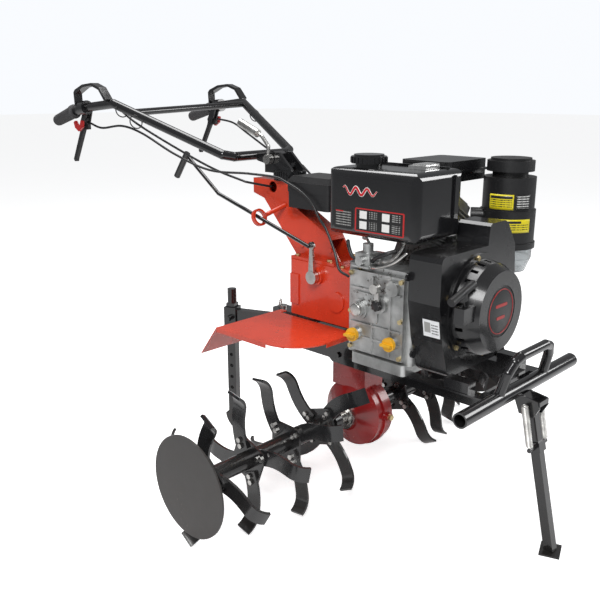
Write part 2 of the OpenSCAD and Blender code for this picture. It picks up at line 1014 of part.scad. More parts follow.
// Black angle brackets under the fenders, bolted to the gearbox leg
module fender_brackets() {
    color(black) {
        both_sides() {
            side_plate(36 + gap, 42, [
                [-44, 300], [60, 300], [150, 370], [150, fender_z - gap], [-30, fender_z - gap]
            ]);
            block([41, 110, fender_z - 5], [240, 150, fender_z - gap]);
            block([41, -24, fender_z - 5], [150, 10, fender_z - gap]);
        }
    }
    color(bare_steel)
    both_sides()
        for (y = [-28, 40])
            hex_x([42 + gap, y, 322], 1, 8, 6);
}

// ---------------------------------------------------------------- column and handlebar

// Folded steering column on a bolted foot plate, with the shift rod's guide arm
module steering_column() {
    half = 28;
    sheet = 4;
    color(red) {
        difference() {
            side_plate(-half, half, [
                [48, 561], [202, 561], [326, 700], [368, 712], [368, 752], [214, 752],
                [214, 691], [90, 625]
            ]);
            side_plate(-half + sheet, half - sheet, [
                [40, 565], [194, 565], [320, 706], [362, 718], [362, 746], [218, 746],
                [218, 686], [80, 613]
            ]);
            disc_x([-half, 292, 733], 15, 12);
            disc_z(0, swivel_y, 740, 760, 8.2);
        }
        block([-58, 44, lid_top + gap], [58, 194, lid_top + 8]);
        difference() {
            union() {
                rod([-half + 1, 244, 690], [-84, 268, 664], 6);
                translate([-95, 275, 660])
                    rotate([-20, 0, 0])
                        rotate([90, 0, 0])
                            cylinder(r = 23, h = 10, center = true);
            }
            translate([-95, 275, 660])
                rotate([-20, 0, 0])
                    rotate([90, 0, 0])
                        cylinder(r = 17, h = 40, center = true);
        }
    }
    color(bare_steel)
        for (y = [80, 180])
            hex_x([-half - gap, y, 590], -1, 6, 5);
}

// Tool box in front of the column
module toolbox() {
    color(black)
    difference() {
        upright_block([-60, 62, 692], [60, 206, 732], 10);
        upright_block([-57, 65, 695], [57, 203, 740], 8);
    }
}

// Box lid with sloping edges, hinged along the far side
module toolbox_lid() {
    color(black)
    difference() {
        union() {
            upright_block([-62, 60, 732 + gap], [62, 208, 758], 11);
            intersection() {
                side_plate(-61, 61, [[61, 757], [207, 757], [196, 772], [72, 772]]);
                translate([0, 212, 0])
                    rotate([90, 0, 0])
                        linear_extrude(160)
                            polygon([[-61, 757], [61, 757], [50, 772], [-50, 772]]);
            }
        }
        upright_block([-58, 64, 730], [58, 204, 756], 8);
    }
}

// Fixed serrated disc on top of the column with its centre bolt
module swivel_disc() {
    color(black)
    translate([0, swivel_y, 0]) {
        translate([0, 0, 752 + gap])
            cylinder(r = 40, h = 10 - gap);
        for (a = [0:10:350])
            rotate([0, 0, a])
                translate([38, -1.6, 753])
                    cube([5, 3.2, 8]);
    }
    color(bare_steel)
    translate([0, swivel_y, 0]) {
        disc_z(0, 0, 740, 792, 8);
        translate([0, 0, 787])
            hex_head(13, 10);
        translate([0, 0, 734])
            hex_head(13, 8);
    }
}

// Turning bracket: a serrated disc with two ears that carry the tilt bolt
module tilt_bracket() {
    y = tilt_axis[1];
    z = tilt_axis[2];
    color(black)
    difference() {
        union() {
            disc_z(0, swivel_y, 762.3, 778, 41);
            for (a = [0:10:350])
                translate([0, swivel_y, 764])
                    rotate([0, 0, a])
                        translate([40, -1.6, 0])
                            cube([4, 3.2, 12]);
            for (side = [-1, 1])
                side_plate(side * 22 - 4, side * 22 + 4, [
                    [swivel_y - 30, 770], [y + 24, 770], [y + 24, z + 2], [y + 12, z + 18],
                    [y - 30, z + 18], [swivel_y - 30, 784]
                ]);
        }
        disc_z(0, swivel_y, 760, 790, 8 + running);
        disc_x([0, y, z], 7 + running, 70);
    }
}

// Bolt through the ears with the bent rod and grip of the clamping lever
module clamp_lever() {
    y = tilt_axis[1];
    z = tilt_axis[2];
    color(bare_steel) {
        disc_x([0, y, z], 7, 72);
        disc_x([34, y, z], 12, 8);
        disc_x([-36, y, z], 13, 16);
        pipe([[-37, y, z + 6], [-37, y - 2, z + 34], [-37, y + 22, z + 58], [-37, y + 40, z + 66]], 5);
    }
    color([0.3, 0.3, 0.31])
        rod([-37, y + 38, z + 65], [-37, y + 108, z + 92], 11);
}

// Bent tube with its clamp tongue, cross tube, grip arches and lever brackets
module handlebar() {
    y = tilt_axis[1];
    z = tilt_axis[2];
    color(black) {
        pipe([
            [-grip_end[0], grip_end[1], grip_end[2]], [-droop[0], droop[1], droop[2]],
            [-bend[0], bend[1], bend[2]], [-corner_x - 28, cross_y + 14, cross_z + 6],
            [-corner_x, cross_y, cross_z], [corner_x, cross_y, cross_z],
            [corner_x + 28, cross_y + 14, cross_z + 6], bend, droop, grip_end
        ], bar_r);
        rod([-bend[0] + 22, bend[1] - 60, bend[2] - 23], [bend[0] - 8, bend[1] - 14, bend[2] - 6], 9.5);
        difference() {
            side_plate(-17.5, 17.5, [
                [y - 20, z - 10], [y + 10, z - 18], [cross_y - 4, cross_z - 14], [cross_y - 4, cross_z + 6],
                [y, z + 20], [y - 18, z + 14]
            ]);
            disc_x([0, y, z], 7 + running, 40);
        }
        both_sides() {
            lever_mount();
            grip_arch();
        }
    }
}

// Clamp ring and two short cheeks that carry a hand lever
module lever_mount() {
    difference() {
        rod([251.6, 826, 934.6], [252, 854, 932], 20);
        rod([251.6, 820, 935.2], [252, 860, 931.6], bar_r - 1);
    }
    difference() {
        for (x = [lever_pivot[0] - 8, lever_pivot[0] + 8])
            side_plate(x - 2, x + 2, [
                [830, 934], [850, 932], [lever_pivot[1] + 12, lever_pivot[2] + 4],
                [lever_pivot[1] + 8, lever_pivot[2] - 8], [lever_pivot[1] - 10, lever_pivot[2] - 8]
            ]);
        disc_x(lever_pivot, 4 + running, 40);
    }
}

// Flat strap that arches over the tube in front of the grip
module grip_arch() {
    side_plate(238, 262, [
        [712, 958], [742, 990], [782, 1002], [830, 998], [872, 984], [880, 976], [878, 938],
        [872, 938], [873, 972], [828, 990], [784, 995], [746, 983], [718, 952]
    ]);
}

// Rubber grips on both ends of the handlebar
module grips() {
    dir = unit(grip_end - droop);
    inner = grip_end - dir * grip_len;
    color(dark_rubber)
    both_sides()
        difference() {
            union() {
                rod(inner, grip_end + dir * 4, bar_r + 4);
                rod(inner - dir * 4, inner + dir * 6, bar_r + 8);
            }
            rod(inner - dir * 5, grip_end + dir * 0.01, bar_r + gap);
        }
}

// Tapered plastic lever that hangs from its pivot, with the cable's pull arm in front
module hand_lever() {
    p = lever_pivot;
    t = lever_tip;
    color(black)
    side_plate(p[0] - 5, p[0] + 5, [
        [p[1] - 24, p[2] + 2], [p[1] - 2, p[2] + 10], [p[1] + 13, p[2] + 4], [p[1] + 20, p[2] - 16],
        [t[1] + 7, t[2] + 4], [t[1] + 3, t[2] - 3], [t[1] - 5, t[2] - 3], [t[1] - 8, t[2] + 4],
        [p[1] + 1, p[2] - 14], [p[1] - 24, p[2] - 12]
    ]);
    color(bare_steel)
        disc_x(p, 4, 24);
}

module near_hand_lever() {
    mirror([1, 0, 0])
        hand_lever();
}

module far_hand_lever() {
    hand_lever();
}

// Red two-horned catch outside the lever's cheek
module catch() {
    p = lever_pivot;
    color(red)
    side_plate(p[0] + 14, p[0] + 22, [
        [p[1] - 18, p[2] - 6], [p[1] - 22, p[2] + 12], [p[1] - 14, p[2] + 14], [p[1] - 8, p[2] + 2],
        [p[1] + 8, p[2] + 1], [p[1] + 18, p[2] + 12], [p[1] + 26, p[2] + 8], [p[1] + 20, p[2] - 8],
        [p[1] + 2, p[2] - 18]
    ]);
}

module near_catch() {
    mirror([1, 0, 0])
        catch();
}

module far_catch() {
    catch();
}

// Clutch cable, reverse cable and throttle wire along their clipped routes
module control_cables() {
    clutch = [
        [-240, 836, 890], [-236, 780, 878], [-228, 690, 886], [-222, 600, 868], [-196, 496, 818],
        [-160, 396, 780], [-110, 300, 774], [-80, 230, 768], [-72, 196, 756], [-70, 150, 738],
        [-70, 110, 712], [-72, 84, 680], [-78, 52, 652], [-110, -4, 610], [-146, -50, 582],
        [-152, -84, 572]
    ];
    reverse = [
        [240, 836, 890], [226, 740, 880], [200, 640, 850], [160, 480, 800], [118, 380, 790],
        [96, 300, 780], [100, 262, 748], [96, 222, 716], [86, 150, 690], [78, 90, 650],
        [76, 40, 600], [70, 16, 552]
    ];
    throttle = [
        [-222, 760, 962], [-212, 712, 926], [-200, 640, 886], [-166, 500, 822], [-134, 400, 778],
        [-100, 320, 750], [-60, 300, 740], [-32, 292, 734]
    ];
    color(black)
        for (route = [clutch, reverse, throttle])
            cord(smooth(route, 4), 3);
}

// ---------------------------------------------------------------- shift linkage

// Upright arm on the gearbox shaft, turned by the shift rod
module shift_arm() {
    color(bare_steel) {
        disc_x([-70, 97, 526], 12.5, 34);
        disc_x([-80, 97, 526], 17, 14);
        side_plate(-86, -80, [[88, 534], [106, 534], [102, 600], [92, 600]]);
        difference() {
            disc_x([-83, 97, 608], 10, 6);
            disc_x([-83, 97, 608], 5 + running, 8);
        }
    }
}

// Long shift rod with its bent end in the arm and a hanging grip
module shift_rod() {
    color(black) {
        pipe([
            [-78, 97, 608], [-95, 97, 608], [-95, 275, 660], [-110, 421, 711], [-110, 556, 808]
        ], 5);
        rod([-110, 552, 812], [-110, 604, 744], 9);
    }
}

// ---------------------------------------------------------------- front frame

// Rails, cross plate, bumper tube, guard hoop and the stand's bracket, welded together
module front_frame() {
    color(black)
    difference() {
        union() {
            both_sides() {
                rail();
                block([rail_x - 4, -396, rail_top - 4], [rail_x + 26, -336, rail_top + 24]);
            }
            block([-rail_x, -70, rail_low], [rail_x, -62, rail_top]);
            block([-36, -62, rail_low], [36, -46 - gap, rail_top]);
            block([-rail_x, -420, rail_low + 6], [rail_x, -412, rail_top]);
            disc_x([0, bumper_y, bumper_z], bumper_r, 2 * bumper_half);
            pipe([
                [-97, bumper_y, bumper_z + 4], [-90, bumper_y - 14, 420], [-76, bumper_y - 20, 442],
                [-54, bumper_y - 22, 450], [54, bumper_y - 22, 450], [76, bumper_y - 20, 442],
                [90, bumper_y - 14, 420], [97, bumper_y, bumper_z + 4]
            ], 11);
            for (side = [-1, 1])
                side_plate(side * 19 - 3, side * 19 + 3, [
                    [-504, 346], [-462, 352], [-448, 344], [-462, 310], [-496, 308], [-508, 330]
                ]);
            block([-20, -508, 335], [20, -503, 346]);
        }
        disc_x([0, bumper_y, bumper_z], bumper_r - 3.5, 2 * bumper_half + 2);
        disc_x(stand_pivot, 6 + running, 60);
    }
}

// One angle-iron rail of the frame
module rail() {
    block([rail_x - 4, -440, rail_top - 4], [rail_x - 4 + rail_w, -62, rail_top]);
    block([rail_x - 4, -440, rail_low], [rail_x, -62, rail_top]);
    block([rail_x - 4, -448, rail_low + 8], [rail_x + 20, -436, rail_top]);
}

// Prop stand: pivot pin, leaning square leg, spring collar and foot plate
module stand_leg() {
    lean = atan2(stand_pivot[1] - foot_at[1], stand_pivot[2] - foot_at[2]);
    long = norm(stand_pivot - foot_at);
    color(black)
    difference() {
        union() {
            translate(stand_pivot)
                rotate([-lean, 0, 0]) {
                    translate([-10.5, -10.5, -long])
                        cube([21, 21, long + 8]);
                    translate([-14, -14, -98])
                        cube([28, 28, 22]);
                }
            disc_x(stand_pivot, 6, 52);
            disc_x([0, -501, 238], 5, 76);
            translate([0, foot_at[1], 0])
                rotate([0, 0, 20])
                    translate([-27, -22, 0])
                        cube([54, 44, 4]);
        }
        translate([0, foot_at[1] - 100, -20])
            translate([-100, 0, 0])
                cube([200, 200, 20]);
    }
}

// Two coil springs between the bracket and the leg's collar
module stand_springs() {
    turns = 15;
    top = [33.5, -480, 338];
    bottom = [33.5, -500, 242];
    color(bare_steel)
    both_sides()
        for (i = [0:2:turns * 2 - 2])
            translate(top + (bottom - top) * i / (turns * 2))
                translate([0, 0, -2])
                    rotate_extrude()
                        translate([5.2, 0])
                            circle(r = 1.4, $fn = 16);
}

// ---------------------------------------------------------------- hitch

// Arm behind the gearbox leg with two lugs for the upright hitch pin
module hitch_bracket() {
    color(black)
    difference() {
        union() {
            block([-24, 62 + gap, 310], [24, hitch_y - 34, 380]);
            for (z = [[300, 312], [382, 394]])
                upright_block([-24, 150, z[0]], [24, hitch_y + 22, z[1]], 10);
            block([-24, 62 + gap, 300], [24, 160, 394]);
        }
        disc_z(0, hitch_y, 290, 400, 8 + running);
    }
}

// Upright hitch pin with its head and two ring clips
module hitch_pin() {
    color(bare_steel)
        disc_z(0, hitch_y, 272, 400, 8);
    color(gold) {
        disc_z(0, hitch_y, 394 + gap, 400, 13);
        translate([-9, hitch_y, 408])
            rotate([90, 0, 30])
                rotate_extrude()
                    translate([10, 0])
                        circle(r = 2, $fn = 16);
    }
}

// Swinging holder: a tongue between the lugs and a square sleeve for the depth bar
module drawbar_holder() {
    inner = depth_bar_w / 2 + 0.4;
    outer = inner + 5;
    color(black)
    translate([0, hitch_y, 0])
        rotate([0, 0, holder_swing])
            difference() {
                union() {
                    disc_z(0, 0, 312.5, 381.5, 20);
                    block([-12, 0, 322], [12, holder_reach - outer + 1, 372]);
                    block([-outer, holder_reach - outer, holder_low], [outer, holder_reach + outer, holder_high]);
                    disc_x([-outer - 4, holder_reach, 348], 8, 10);
                }
                disc_z(0, 0, 300, 400, 8 + running);
                block([-inner, holder_reach - inner, 300], [inner, holder_reach + inner, 400]);
            }
    color(bare_steel)
    translate([0, hitch_y, 0])
        rotate([0, 0, holder_swing])
            hex_x([-outer - 9 - gap, holder_reach, 348], -1, 9, 8);
}

// Square depth bar with a round top, a row of cross holes and a curved foot
module depth_bar() {
    w = depth_bar_w;
    color(black)
    translate([0, hitch_y, 0])
        rotate([0, 0, holder_swing])
            translate([0, holder_reach, 0])
                difference() {
                    union() {
                        translate([-w / 2, -w / 2, 34])
                            cube([w, w, 356]);
                        disc_z(0, 0, 389, 432, w / 2);
                        intersection() {
                            disc_x([0, -40, 52], 64, w);
                            translate([-w / 2, -w / 2, 6])
                                cube([w, w + 14, 40]);
                        }
                    }
                    for (z = [131, 165, 200, 234])
                        disc_x([0, 0, z], 5.2, w + 2);
                    disc_x([0, -52, 52], 52, w + 2);
                }
}

// Every piece is placed from the rotor axle; this puts the origin at the middle of the length
translate([0, -middle_y, 0]) {
    gearbox_case();
    gearbox_lid();
    clutch_housing();
    hub_seals();
    shaft_bearings();
    rotor_shaft();
    hub_gear();
    tine_tubes();
    tines();
    end_discs();
    tine_bolts();
    upright_shaft();
    input_shaft();
    crankcase();
    side_cover();
    cylinder_block();
    cylinder_head();
    rocker_cover();
    fan_cowl();
    starter_housing();
    starter_grip();
    crankshaft();
    flywheel();
    clutch_drum();
    fuel_tank();
    tank_cap();
    tank_strap();
    air_cleaner();
    cleaner_bowl();
    air_filter();
    muffler();
    injection_pump();
    fuel_pipes();
    oil_plugs();
    speed_lever();
    case_bolts();
    fender_plates();
    fender_brackets();
    steering_column();
    toolbox();
    toolbox_lid();
    swivel_disc();
    tilt_bracket();
    handlebar();
    clamp_lever();
    grips();
    near_hand_lever();
    far_hand_lever();
    near_catch();
    far_catch();
    control_cables();
    shift_arm();
    shift_rod();
    front_frame();
    stand_leg();
    stand_springs();
    hitch_bracket();
    hitch_pin();
    drawbar_holder();
    depth_bar();
}
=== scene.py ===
"""Finishes and fine pieces for a walk-behind rotary tiller, as a Blender add-on that runs as a script."""

import math

import bpy
import numpy as np
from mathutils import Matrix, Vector


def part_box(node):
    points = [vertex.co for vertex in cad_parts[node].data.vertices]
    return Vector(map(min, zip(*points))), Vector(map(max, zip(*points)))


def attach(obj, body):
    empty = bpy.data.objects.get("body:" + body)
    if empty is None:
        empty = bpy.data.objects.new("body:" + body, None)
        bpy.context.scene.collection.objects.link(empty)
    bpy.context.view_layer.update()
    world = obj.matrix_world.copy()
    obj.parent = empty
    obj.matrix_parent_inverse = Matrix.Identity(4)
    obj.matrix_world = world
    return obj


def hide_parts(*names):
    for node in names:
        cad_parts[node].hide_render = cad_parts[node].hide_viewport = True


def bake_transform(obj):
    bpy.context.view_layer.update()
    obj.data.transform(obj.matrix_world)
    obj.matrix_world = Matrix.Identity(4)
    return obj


bl_info = {
    "name": "Rotary tiller workshop",
    "version": (1, 0, 0),
    "blender": (4, 5, 0),
    "location": "3D View > Sidebar > Tiller",
    "description": "Paints a rotary tiller and adds its springs, cables, grips and stickers",
    "category": "Object",
}

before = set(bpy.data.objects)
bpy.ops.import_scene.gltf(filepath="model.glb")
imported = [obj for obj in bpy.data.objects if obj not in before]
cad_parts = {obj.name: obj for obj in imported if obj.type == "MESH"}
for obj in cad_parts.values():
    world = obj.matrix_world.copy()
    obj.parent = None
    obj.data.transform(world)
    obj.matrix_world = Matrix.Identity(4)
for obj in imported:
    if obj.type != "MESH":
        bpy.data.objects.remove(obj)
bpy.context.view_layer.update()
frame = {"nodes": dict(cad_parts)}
NODES = frame["nodes"]

# ------------------------------------------------------------------ places

AXLE = (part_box("end_discs")[0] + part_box("end_discs")[1]) / 2
MM = 0.001


def at(x, y, z):
    """A point in the frame, from millimetres sideways, behind the rotor axle and above the ground."""
    return (x * MM, AXLE.y + y * MM, z * MM)


def route(*points):
    """The points of a route in the frame, as an array with a row for each."""
    return np.array([at(*point) for point in points])


# ------------------------------------------------------------------ mesh making


def new_piece(name, points, faces, uv=None, smooth=True):
    """A mesh object from an array of points and one of faces, with an optional UV row for each point."""
    mesh = bpy.data.meshes.new(name)
    mesh.from_pydata(points.tolist(), [], faces.tolist())
    mesh.polygons.foreach_set("use_smooth", np.full(len(mesh.polygons), smooth))
    if uv is not None:
        corner = np.empty(len(mesh.loops), np.int32)
        mesh.loops.foreach_get("vertex_index", corner)
        layer = mesh.uv_layers.new(name="UVMap")
        layer.data.foreach_set("uv", uv[corner].astype(np.float32).ravel())
    mesh.update()
    piece = bpy.data.objects.new(name, mesh)
    bpy.context.scene.collection.objects.link(piece)
    return piece


def grid_faces(rows, columns, wrap):
    """Quads of a grid whose points run along its columns first; wrap joins the last column to the first."""
    r, c = np.meshgrid(np.arange(rows - 1), np.arange(columns if wrap else columns - 1), indexing="ij")
    here = r * columns + c
    beside = r * columns + (c + 1) % columns
    return np.stack([here, beside, beside + columns, here + columns], -1).reshape(-1, 4)


def smooth_route(points, steps=12):
    """A curve through the points: between two it is the cubic whose slopes come from their neighbours."""
    ends = np.vstack([2 * points[:1] - points[1:2], points, 2 * points[-1:] - points[-2:-1]])
    before, a, b, after = ends[:-3], ends[1:-2], ends[2:-1], ends[3:]
    t = np.linspace(0, 1, steps, endpoint=False)[None, :, None]
    before, a, b, after = (p[:, None, :] for p in (before, a, b, after))
    curve = (
        2 * a
        + (b - before) * t
        + (2 * before - 5 * a + 4 * b - after) * t**2
        + (3 * a - before - 3 * b + after) * t**3
    ) / 2
    return np.vstack([curve.reshape(-1, 3), points[-1:]])


def tube(name, path, radius, sides=16, reference=(0.13, 0.21, 0.97), round_ends=True):
    """A round tube: circles of the given radius, one for each path point, square to the path's direction.

    The reference direction, crossed with the path's direction, gives each circle its first axis."""
    path = np.asarray(path, float)
    size = np.broadcast_to(np.asarray(radius, float), (len(path),)).copy()
    along = np.gradient(path, axis=0)
    along /= np.linalg.norm(along, axis=1, keepdims=True)
    if round_ends:
        before = path[:1] - along[:1] * size[0] * 0.3
        beyond = path[-1:] + along[-1:] * size[-1] * 0.3
        path = np.vstack([before, path, beyond])
        size = np.concatenate([size[:1] * 0.8, size, size[-1:] * 0.8])
        along = np.vstack([along[:1], along, along[-1:]])
    guide = np.broadcast_to(np.asarray(reference, float), along.shape)
    side = np.cross(guide, along)
    side /= np.linalg.norm(side, axis=1, keepdims=True)
    up = np.cross(along, side)
    turn = np.linspace(0, 2 * np.pi, sides, endpoint=False)
    rings = (
        path[:, None]
        + size[:, None, None] * np.cos(turn)[None, :, None] * side[:, None]
        + size[:, None, None] * np.sin(turn)[None, :, None] * up[:, None]
    )
    count = len(path)
    points = np.vstack([rings.reshape(-1, 3), path[:1], path[-1:]])
    walls = grid_faces(count, sides, True)
    first = np.arange(sides)
    after = (first + 1) % sides
    start_cap = np.stack([after, first, np.full(sides, count * sides)], -1)
    last = (count - 1) * sides
    end_cap = np.stack([first + last, after + last, np.full(sides, count * sides + 1)], -1)
    length = np.concatenate([[0], np.cumsum(np.linalg.norm(np.diff(path, axis=0), axis=1))])
    uv = np.stack([np.repeat(length, sides), np.tile(turn / (2 * np.pi), count)], -1)
    uv = np.vstack([uv, [[0, 0], [length[-1], 0]]])
    faces = [*walls.tolist(), *start_cap.tolist(), *end_cap.tolist()]
    return new_piece(name, points, FaceList(faces), uv)


class FaceList(list):
    """Faces of mixed size, with the same tolist call that an array has."""

    def tolist(self):
        return list(self)


def plate(name, centre, right, up, half_wide, half_high, corner, thick, bulge=0.0):
    """A flat sticker or plate with round corners, thick along the cross product of right and up.

    Its outline is a rectangle whose corners are arcs; each ring inside it is the outline shrunk."""
    right, up = np.array(right, float), np.array(up, float)
    out = np.cross(right, up)
    arc = np.linspace(0, np.pi / 2, 7)
    inner_x, inner_y = half_wide - corner, half_high - corner
    x = np.concatenate([
        inner_x + corner * np.cos(arc), -inner_x + corner * np.cos(arc + np.pi / 2),
        -inner_x + corner * np.cos(arc + np.pi), inner_x + corner * np.cos(arc + 1.5 * np.pi),
    ])
    y = np.concatenate([
        inner_y + corner * np.sin(arc), inner_y + corner * np.sin(arc + np.pi / 2),
        -inner_y + corner * np.sin(arc + np.pi), -inner_y + corner * np.sin(arc + 1.5 * np.pi),
    ])
    count = len(x)
    shrink = np.array([1.0, 1.0, 0.985, 0.7, 0.35])
    height = np.array([0.0, thick * 0.8, thick, thick + bulge * 0.5, thick + bulge])
    sx = (shrink[:, None] * x[None]).ravel()
    sy = (shrink[:, None] * y[None]).ravel()
    sz = np.repeat(height, count)
    points = np.array(centre) + sx[:, None] * right + sy[:, None] * up + sz[:, None] * out
    middle = np.array(centre) + out * (thick + bulge)
    back = np.array(centre)
    points = np.vstack([points, middle, back])
    around = np.arange(count)
    after = (around + 1) % count
    top = (len(shrink) - 1) * count
    faces = grid_faces(len(shrink), count, True).tolist()
    faces += np.stack([around + top, after + top, np.full(count, len(points) - 2)], -1).tolist()
    faces += np.stack([after, around, np.full(count, len(points) - 1)], -1).tolist()
    uv = np.stack([sx / half_wide / 2 + 0.5, sy / half_high / 2 + 0.5], -1)
    uv = np.vstack([uv, [[0.5, 0.5], [0.5, 0.5]]])
    return new_piece(name, points, FaceList(faces), uv, smooth=False)


def wrapped_label(name, centre, axis, first, second, radius, spread, length, thick=0.0004):
    """A label on a round wall: a point is centre + along the axis + radius times the turned direction.

    The direction turns from first towards second through the spread of angles."""
    axis, first, second = (np.array(v, float) for v in (axis, first, second))
    angle = np.radians(np.linspace(spread[0], spread[1], 24))
    along = np.linspace(-length / 2, length / 2, 6)
    a, l = np.meshgrid(angle, along)
    ring = np.cos(a)[..., None] * first + np.sin(a)[..., None] * second
    outer = np.array(centre) + l[..., None] * axis + (radius + thick) * ring
    u = np.broadcast_to(np.linspace(0, 1, 24), a.shape)
    v = np.broadcast_to(np.linspace(0, 1, 6)[:, None], a.shape)
    uv = np.stack([u, v], -1).reshape(-1, 2)
    piece = new_piece(name, outer.reshape(-1, 3), grid_faces(6, 24, False), uv)
    wall = piece.modifiers.new("thickness", "SOLIDIFY")
    wall.thickness = thick
    wall.offset = -1
    return piece


def turned(name, start, end, stations, radii, sides=40, reference=(1, 0, 0)):
    """A turned piece: circles whose radius changes along the straight line from start to end."""
    start, end = np.array(start), np.array(end)
    spread = np.asarray(stations) + 1e-4 * np.arange(len(stations))
    path = start + (end - start) * spread[:, None]
    return tube(name, path, radii, sides, reference, round_ends=False)


# ------------------------------------------------------------------ shader helpers


def put(tree, kind, inputs=None, **settings):
    """Adds a node; an input is given a socket to link or a plain value to hold."""
    made = tree.nodes.new(kind)
    for key, value in settings.items():
        setattr(made, key, value)
    for key, value in (inputs or {}).items():
        if isinstance(value, bpy.types.NodeSocket):
            tree.links.new(value, made.inputs[key])
        else:
            made.inputs[key].default_value = value
    return made


def new_group(name, inputs, outputs):
    """An empty shader group with its named sockets, and its input and output nodes."""
    tree = bpy.data.node_groups.new(name, "ShaderNodeTree")
    for label, (kind, value) in inputs.items():
        socket = tree.interface.new_socket(name=label, in_out="INPUT", socket_type=kind)
        socket.default_value = value
    for label, kind in outputs.items():
        tree.interface.new_socket(name=label, in_out="OUTPUT", socket_type=kind)
    return tree, put(tree, "NodeGroupInput"), put(tree, "NodeGroupOutput")


FLOAT = "NodeSocketFloat"
COLOUR = "NodeSocketColor"


def noise_at(tree, scale, detail=4.0, rough=0.55):
    """Noise over the piece's own coordinates."""
    place = put(tree, "ShaderNodeTexCoord")
    return put(tree, "ShaderNodeTexNoise", {
        "Vector": place.outputs["Object"], "Scale": scale, "Detail": detail, "Roughness": rough,
    }).outputs["Fac"]


def drift_group():
    """Group: a colour made lighter and darker in soft patches."""
    tree, given, result = new_group(
        "colour drift",
        {"Color": (COLOUR, (0.5, 0.5, 0.5, 1)), "Spread": (FLOAT, 0.2), "Scale": (FLOAT, 9.0)},
        {"Color": COLOUR},
    )
    patches = noise_at(tree, given.outputs["Scale"])
    low = put(tree, "ShaderNodeMath", {0: 1.0, 1: given.outputs["Spread"]}, operation="SUBTRACT")
    high = put(tree, "ShaderNodeMath", {0: 1.0, 1: given.outputs["Spread"]}, operation="ADD")
    level = put(tree, "ShaderNodeMapRange", {
        "Value": patches, "From Min": 0.3, "From Max": 0.7, "To Min": low.outputs[0],
        "To Max": high.outputs[0],
    })
    shaded = put(tree, "ShaderNodeVectorMath", {0: given.outputs["Color"], "Scale": level.outputs[0]},
                 operation="SCALE")
    tree.links.new(shaded.outputs[0], result.inputs["Color"])
    return tree


def grain_group():
    """Group: fine surface height and a matching change of roughness."""
    tree, given, result = new_group(
        "surface grain",
        {"Scale": (FLOAT, 300.0), "Waves": (FLOAT, 0.3), "Roughness": (FLOAT, 0.4), "Spread": (FLOAT, 0.08)},
        {"Height": FLOAT, "Roughness": FLOAT},
    )
    fine = noise_at(tree, given.outputs["Scale"], 3.0)
    coarse_scale = put(tree, "ShaderNodeMath", {0: given.outputs["Scale"], 1: 0.08}, operation="MULTIPLY")
    coarse = noise_at(tree, coarse_scale.outputs[0], 2.0)
    waves = put(tree, "ShaderNodeMath", {0: coarse, 1: given.outputs["Waves"]}, operation="MULTIPLY")
    height = put(tree, "ShaderNodeMath", {0: fine, 1: waves.outputs[0]}, operation="ADD")
    smear = noise_at(tree, 14.0, 5.0, 0.65)
    centred = put(tree, "ShaderNodeMath", {0: smear, 1: 0.5}, operation="SUBTRACT")
    swing = put(
        tree, "ShaderNodeMath", {0: centred.outputs[0], 1: given.outputs["Spread"]}, operation="MULTIPLY"
    )
    doubled = put(tree, "ShaderNodeMath", {0: swing.outputs[0], 1: 4.0, 2: given.outputs["Roughness"]},
                  operation="MULTIPLY_ADD")
    doubled.use_clamp = True
    tree.links.new(height.outputs[0], result.inputs["Height"])
    tree.links.new(doubled.outputs[0], result.inputs["Roughness"])
    return tree


def chips_group():
    """Group: a mask of small worn spots and scratches."""
    tree, given, result = new_group(
        "worn spots", {"Scale": (FLOAT, 60.0), "Amount": (FLOAT, 0.2)}, {"Mask": FLOAT}
    )
    spots = noise_at(tree, given.outputs["Scale"], 6.0, 0.7)
    patches = noise_at(tree, 7.0, 2.0)
    both = put(tree, "ShaderNodeMath", {0: spots, 1: patches}, operation="MULTIPLY")
    edge = put(
        tree, "ShaderNodeMath", {0: -0.16, 1: given.outputs["Amount"], 2: 0.42}, operation="MULTIPLY_ADD"
    )
    far_edge = put(tree, "ShaderNodeMath", {0: edge.outputs[0], 1: 0.03}, operation="ADD")
    mask = put(tree, "ShaderNodeMapRange", {
        "Value": both.outputs[0], "From Min": edge.outputs[0], "From Max": far_edge.outputs[0],
    })
    tree.links.new(mask.outputs[0], result.inputs["Mask"])
    return tree


def dust_group():
    """Group: dust that lies on upward faces and thickens near the ground."""
    tree, given, result = new_group(
        "settled dust", {"Amount": (FLOAT, 0.1), "Reach": (FLOAT, 0.3)}, {"Mask": FLOAT}
    )
    facing = put(tree, "ShaderNodeSeparateXYZ", {0: put(tree, "ShaderNodeNewGeometry").outputs["Normal"]})
    upward = put(tree, "ShaderNodeMapRange", {"Value": facing.outputs["Z"], "From Min": 0.3, "From Max": 1.0})
    place = put(tree, "ShaderNodeSeparateXYZ", {0: put(tree, "ShaderNodeTexCoord").outputs["Object"]})
    low = put(tree, "ShaderNodeMapRange", {
        "Value": place.outputs["Z"], "From Min": 0.0, "From Max": given.outputs["Reach"], "To Min": 1.0,
        "To Max": 0.0,
    })
    where = put(
        tree, "ShaderNodeMath", {0: upward.outputs[0], 1: 0.5, 2: low.outputs[0]}, operation="MULTIPLY_ADD"
    )
    specks = noise_at(tree, 45.0, 6.0, 0.7)
    dusty = put(tree, "ShaderNodeMath", {0: where.outputs[0], 1: specks}, operation="MULTIPLY")
    mask = put(tree, "ShaderNodeMath", {0: dusty.outputs[0], 1: given.outputs["Amount"]},
               operation="MULTIPLY", use_clamp=True)
    tree.links.new(mask.outputs[0], result.inputs["Mask"])
    return tree


GROUPS = {}


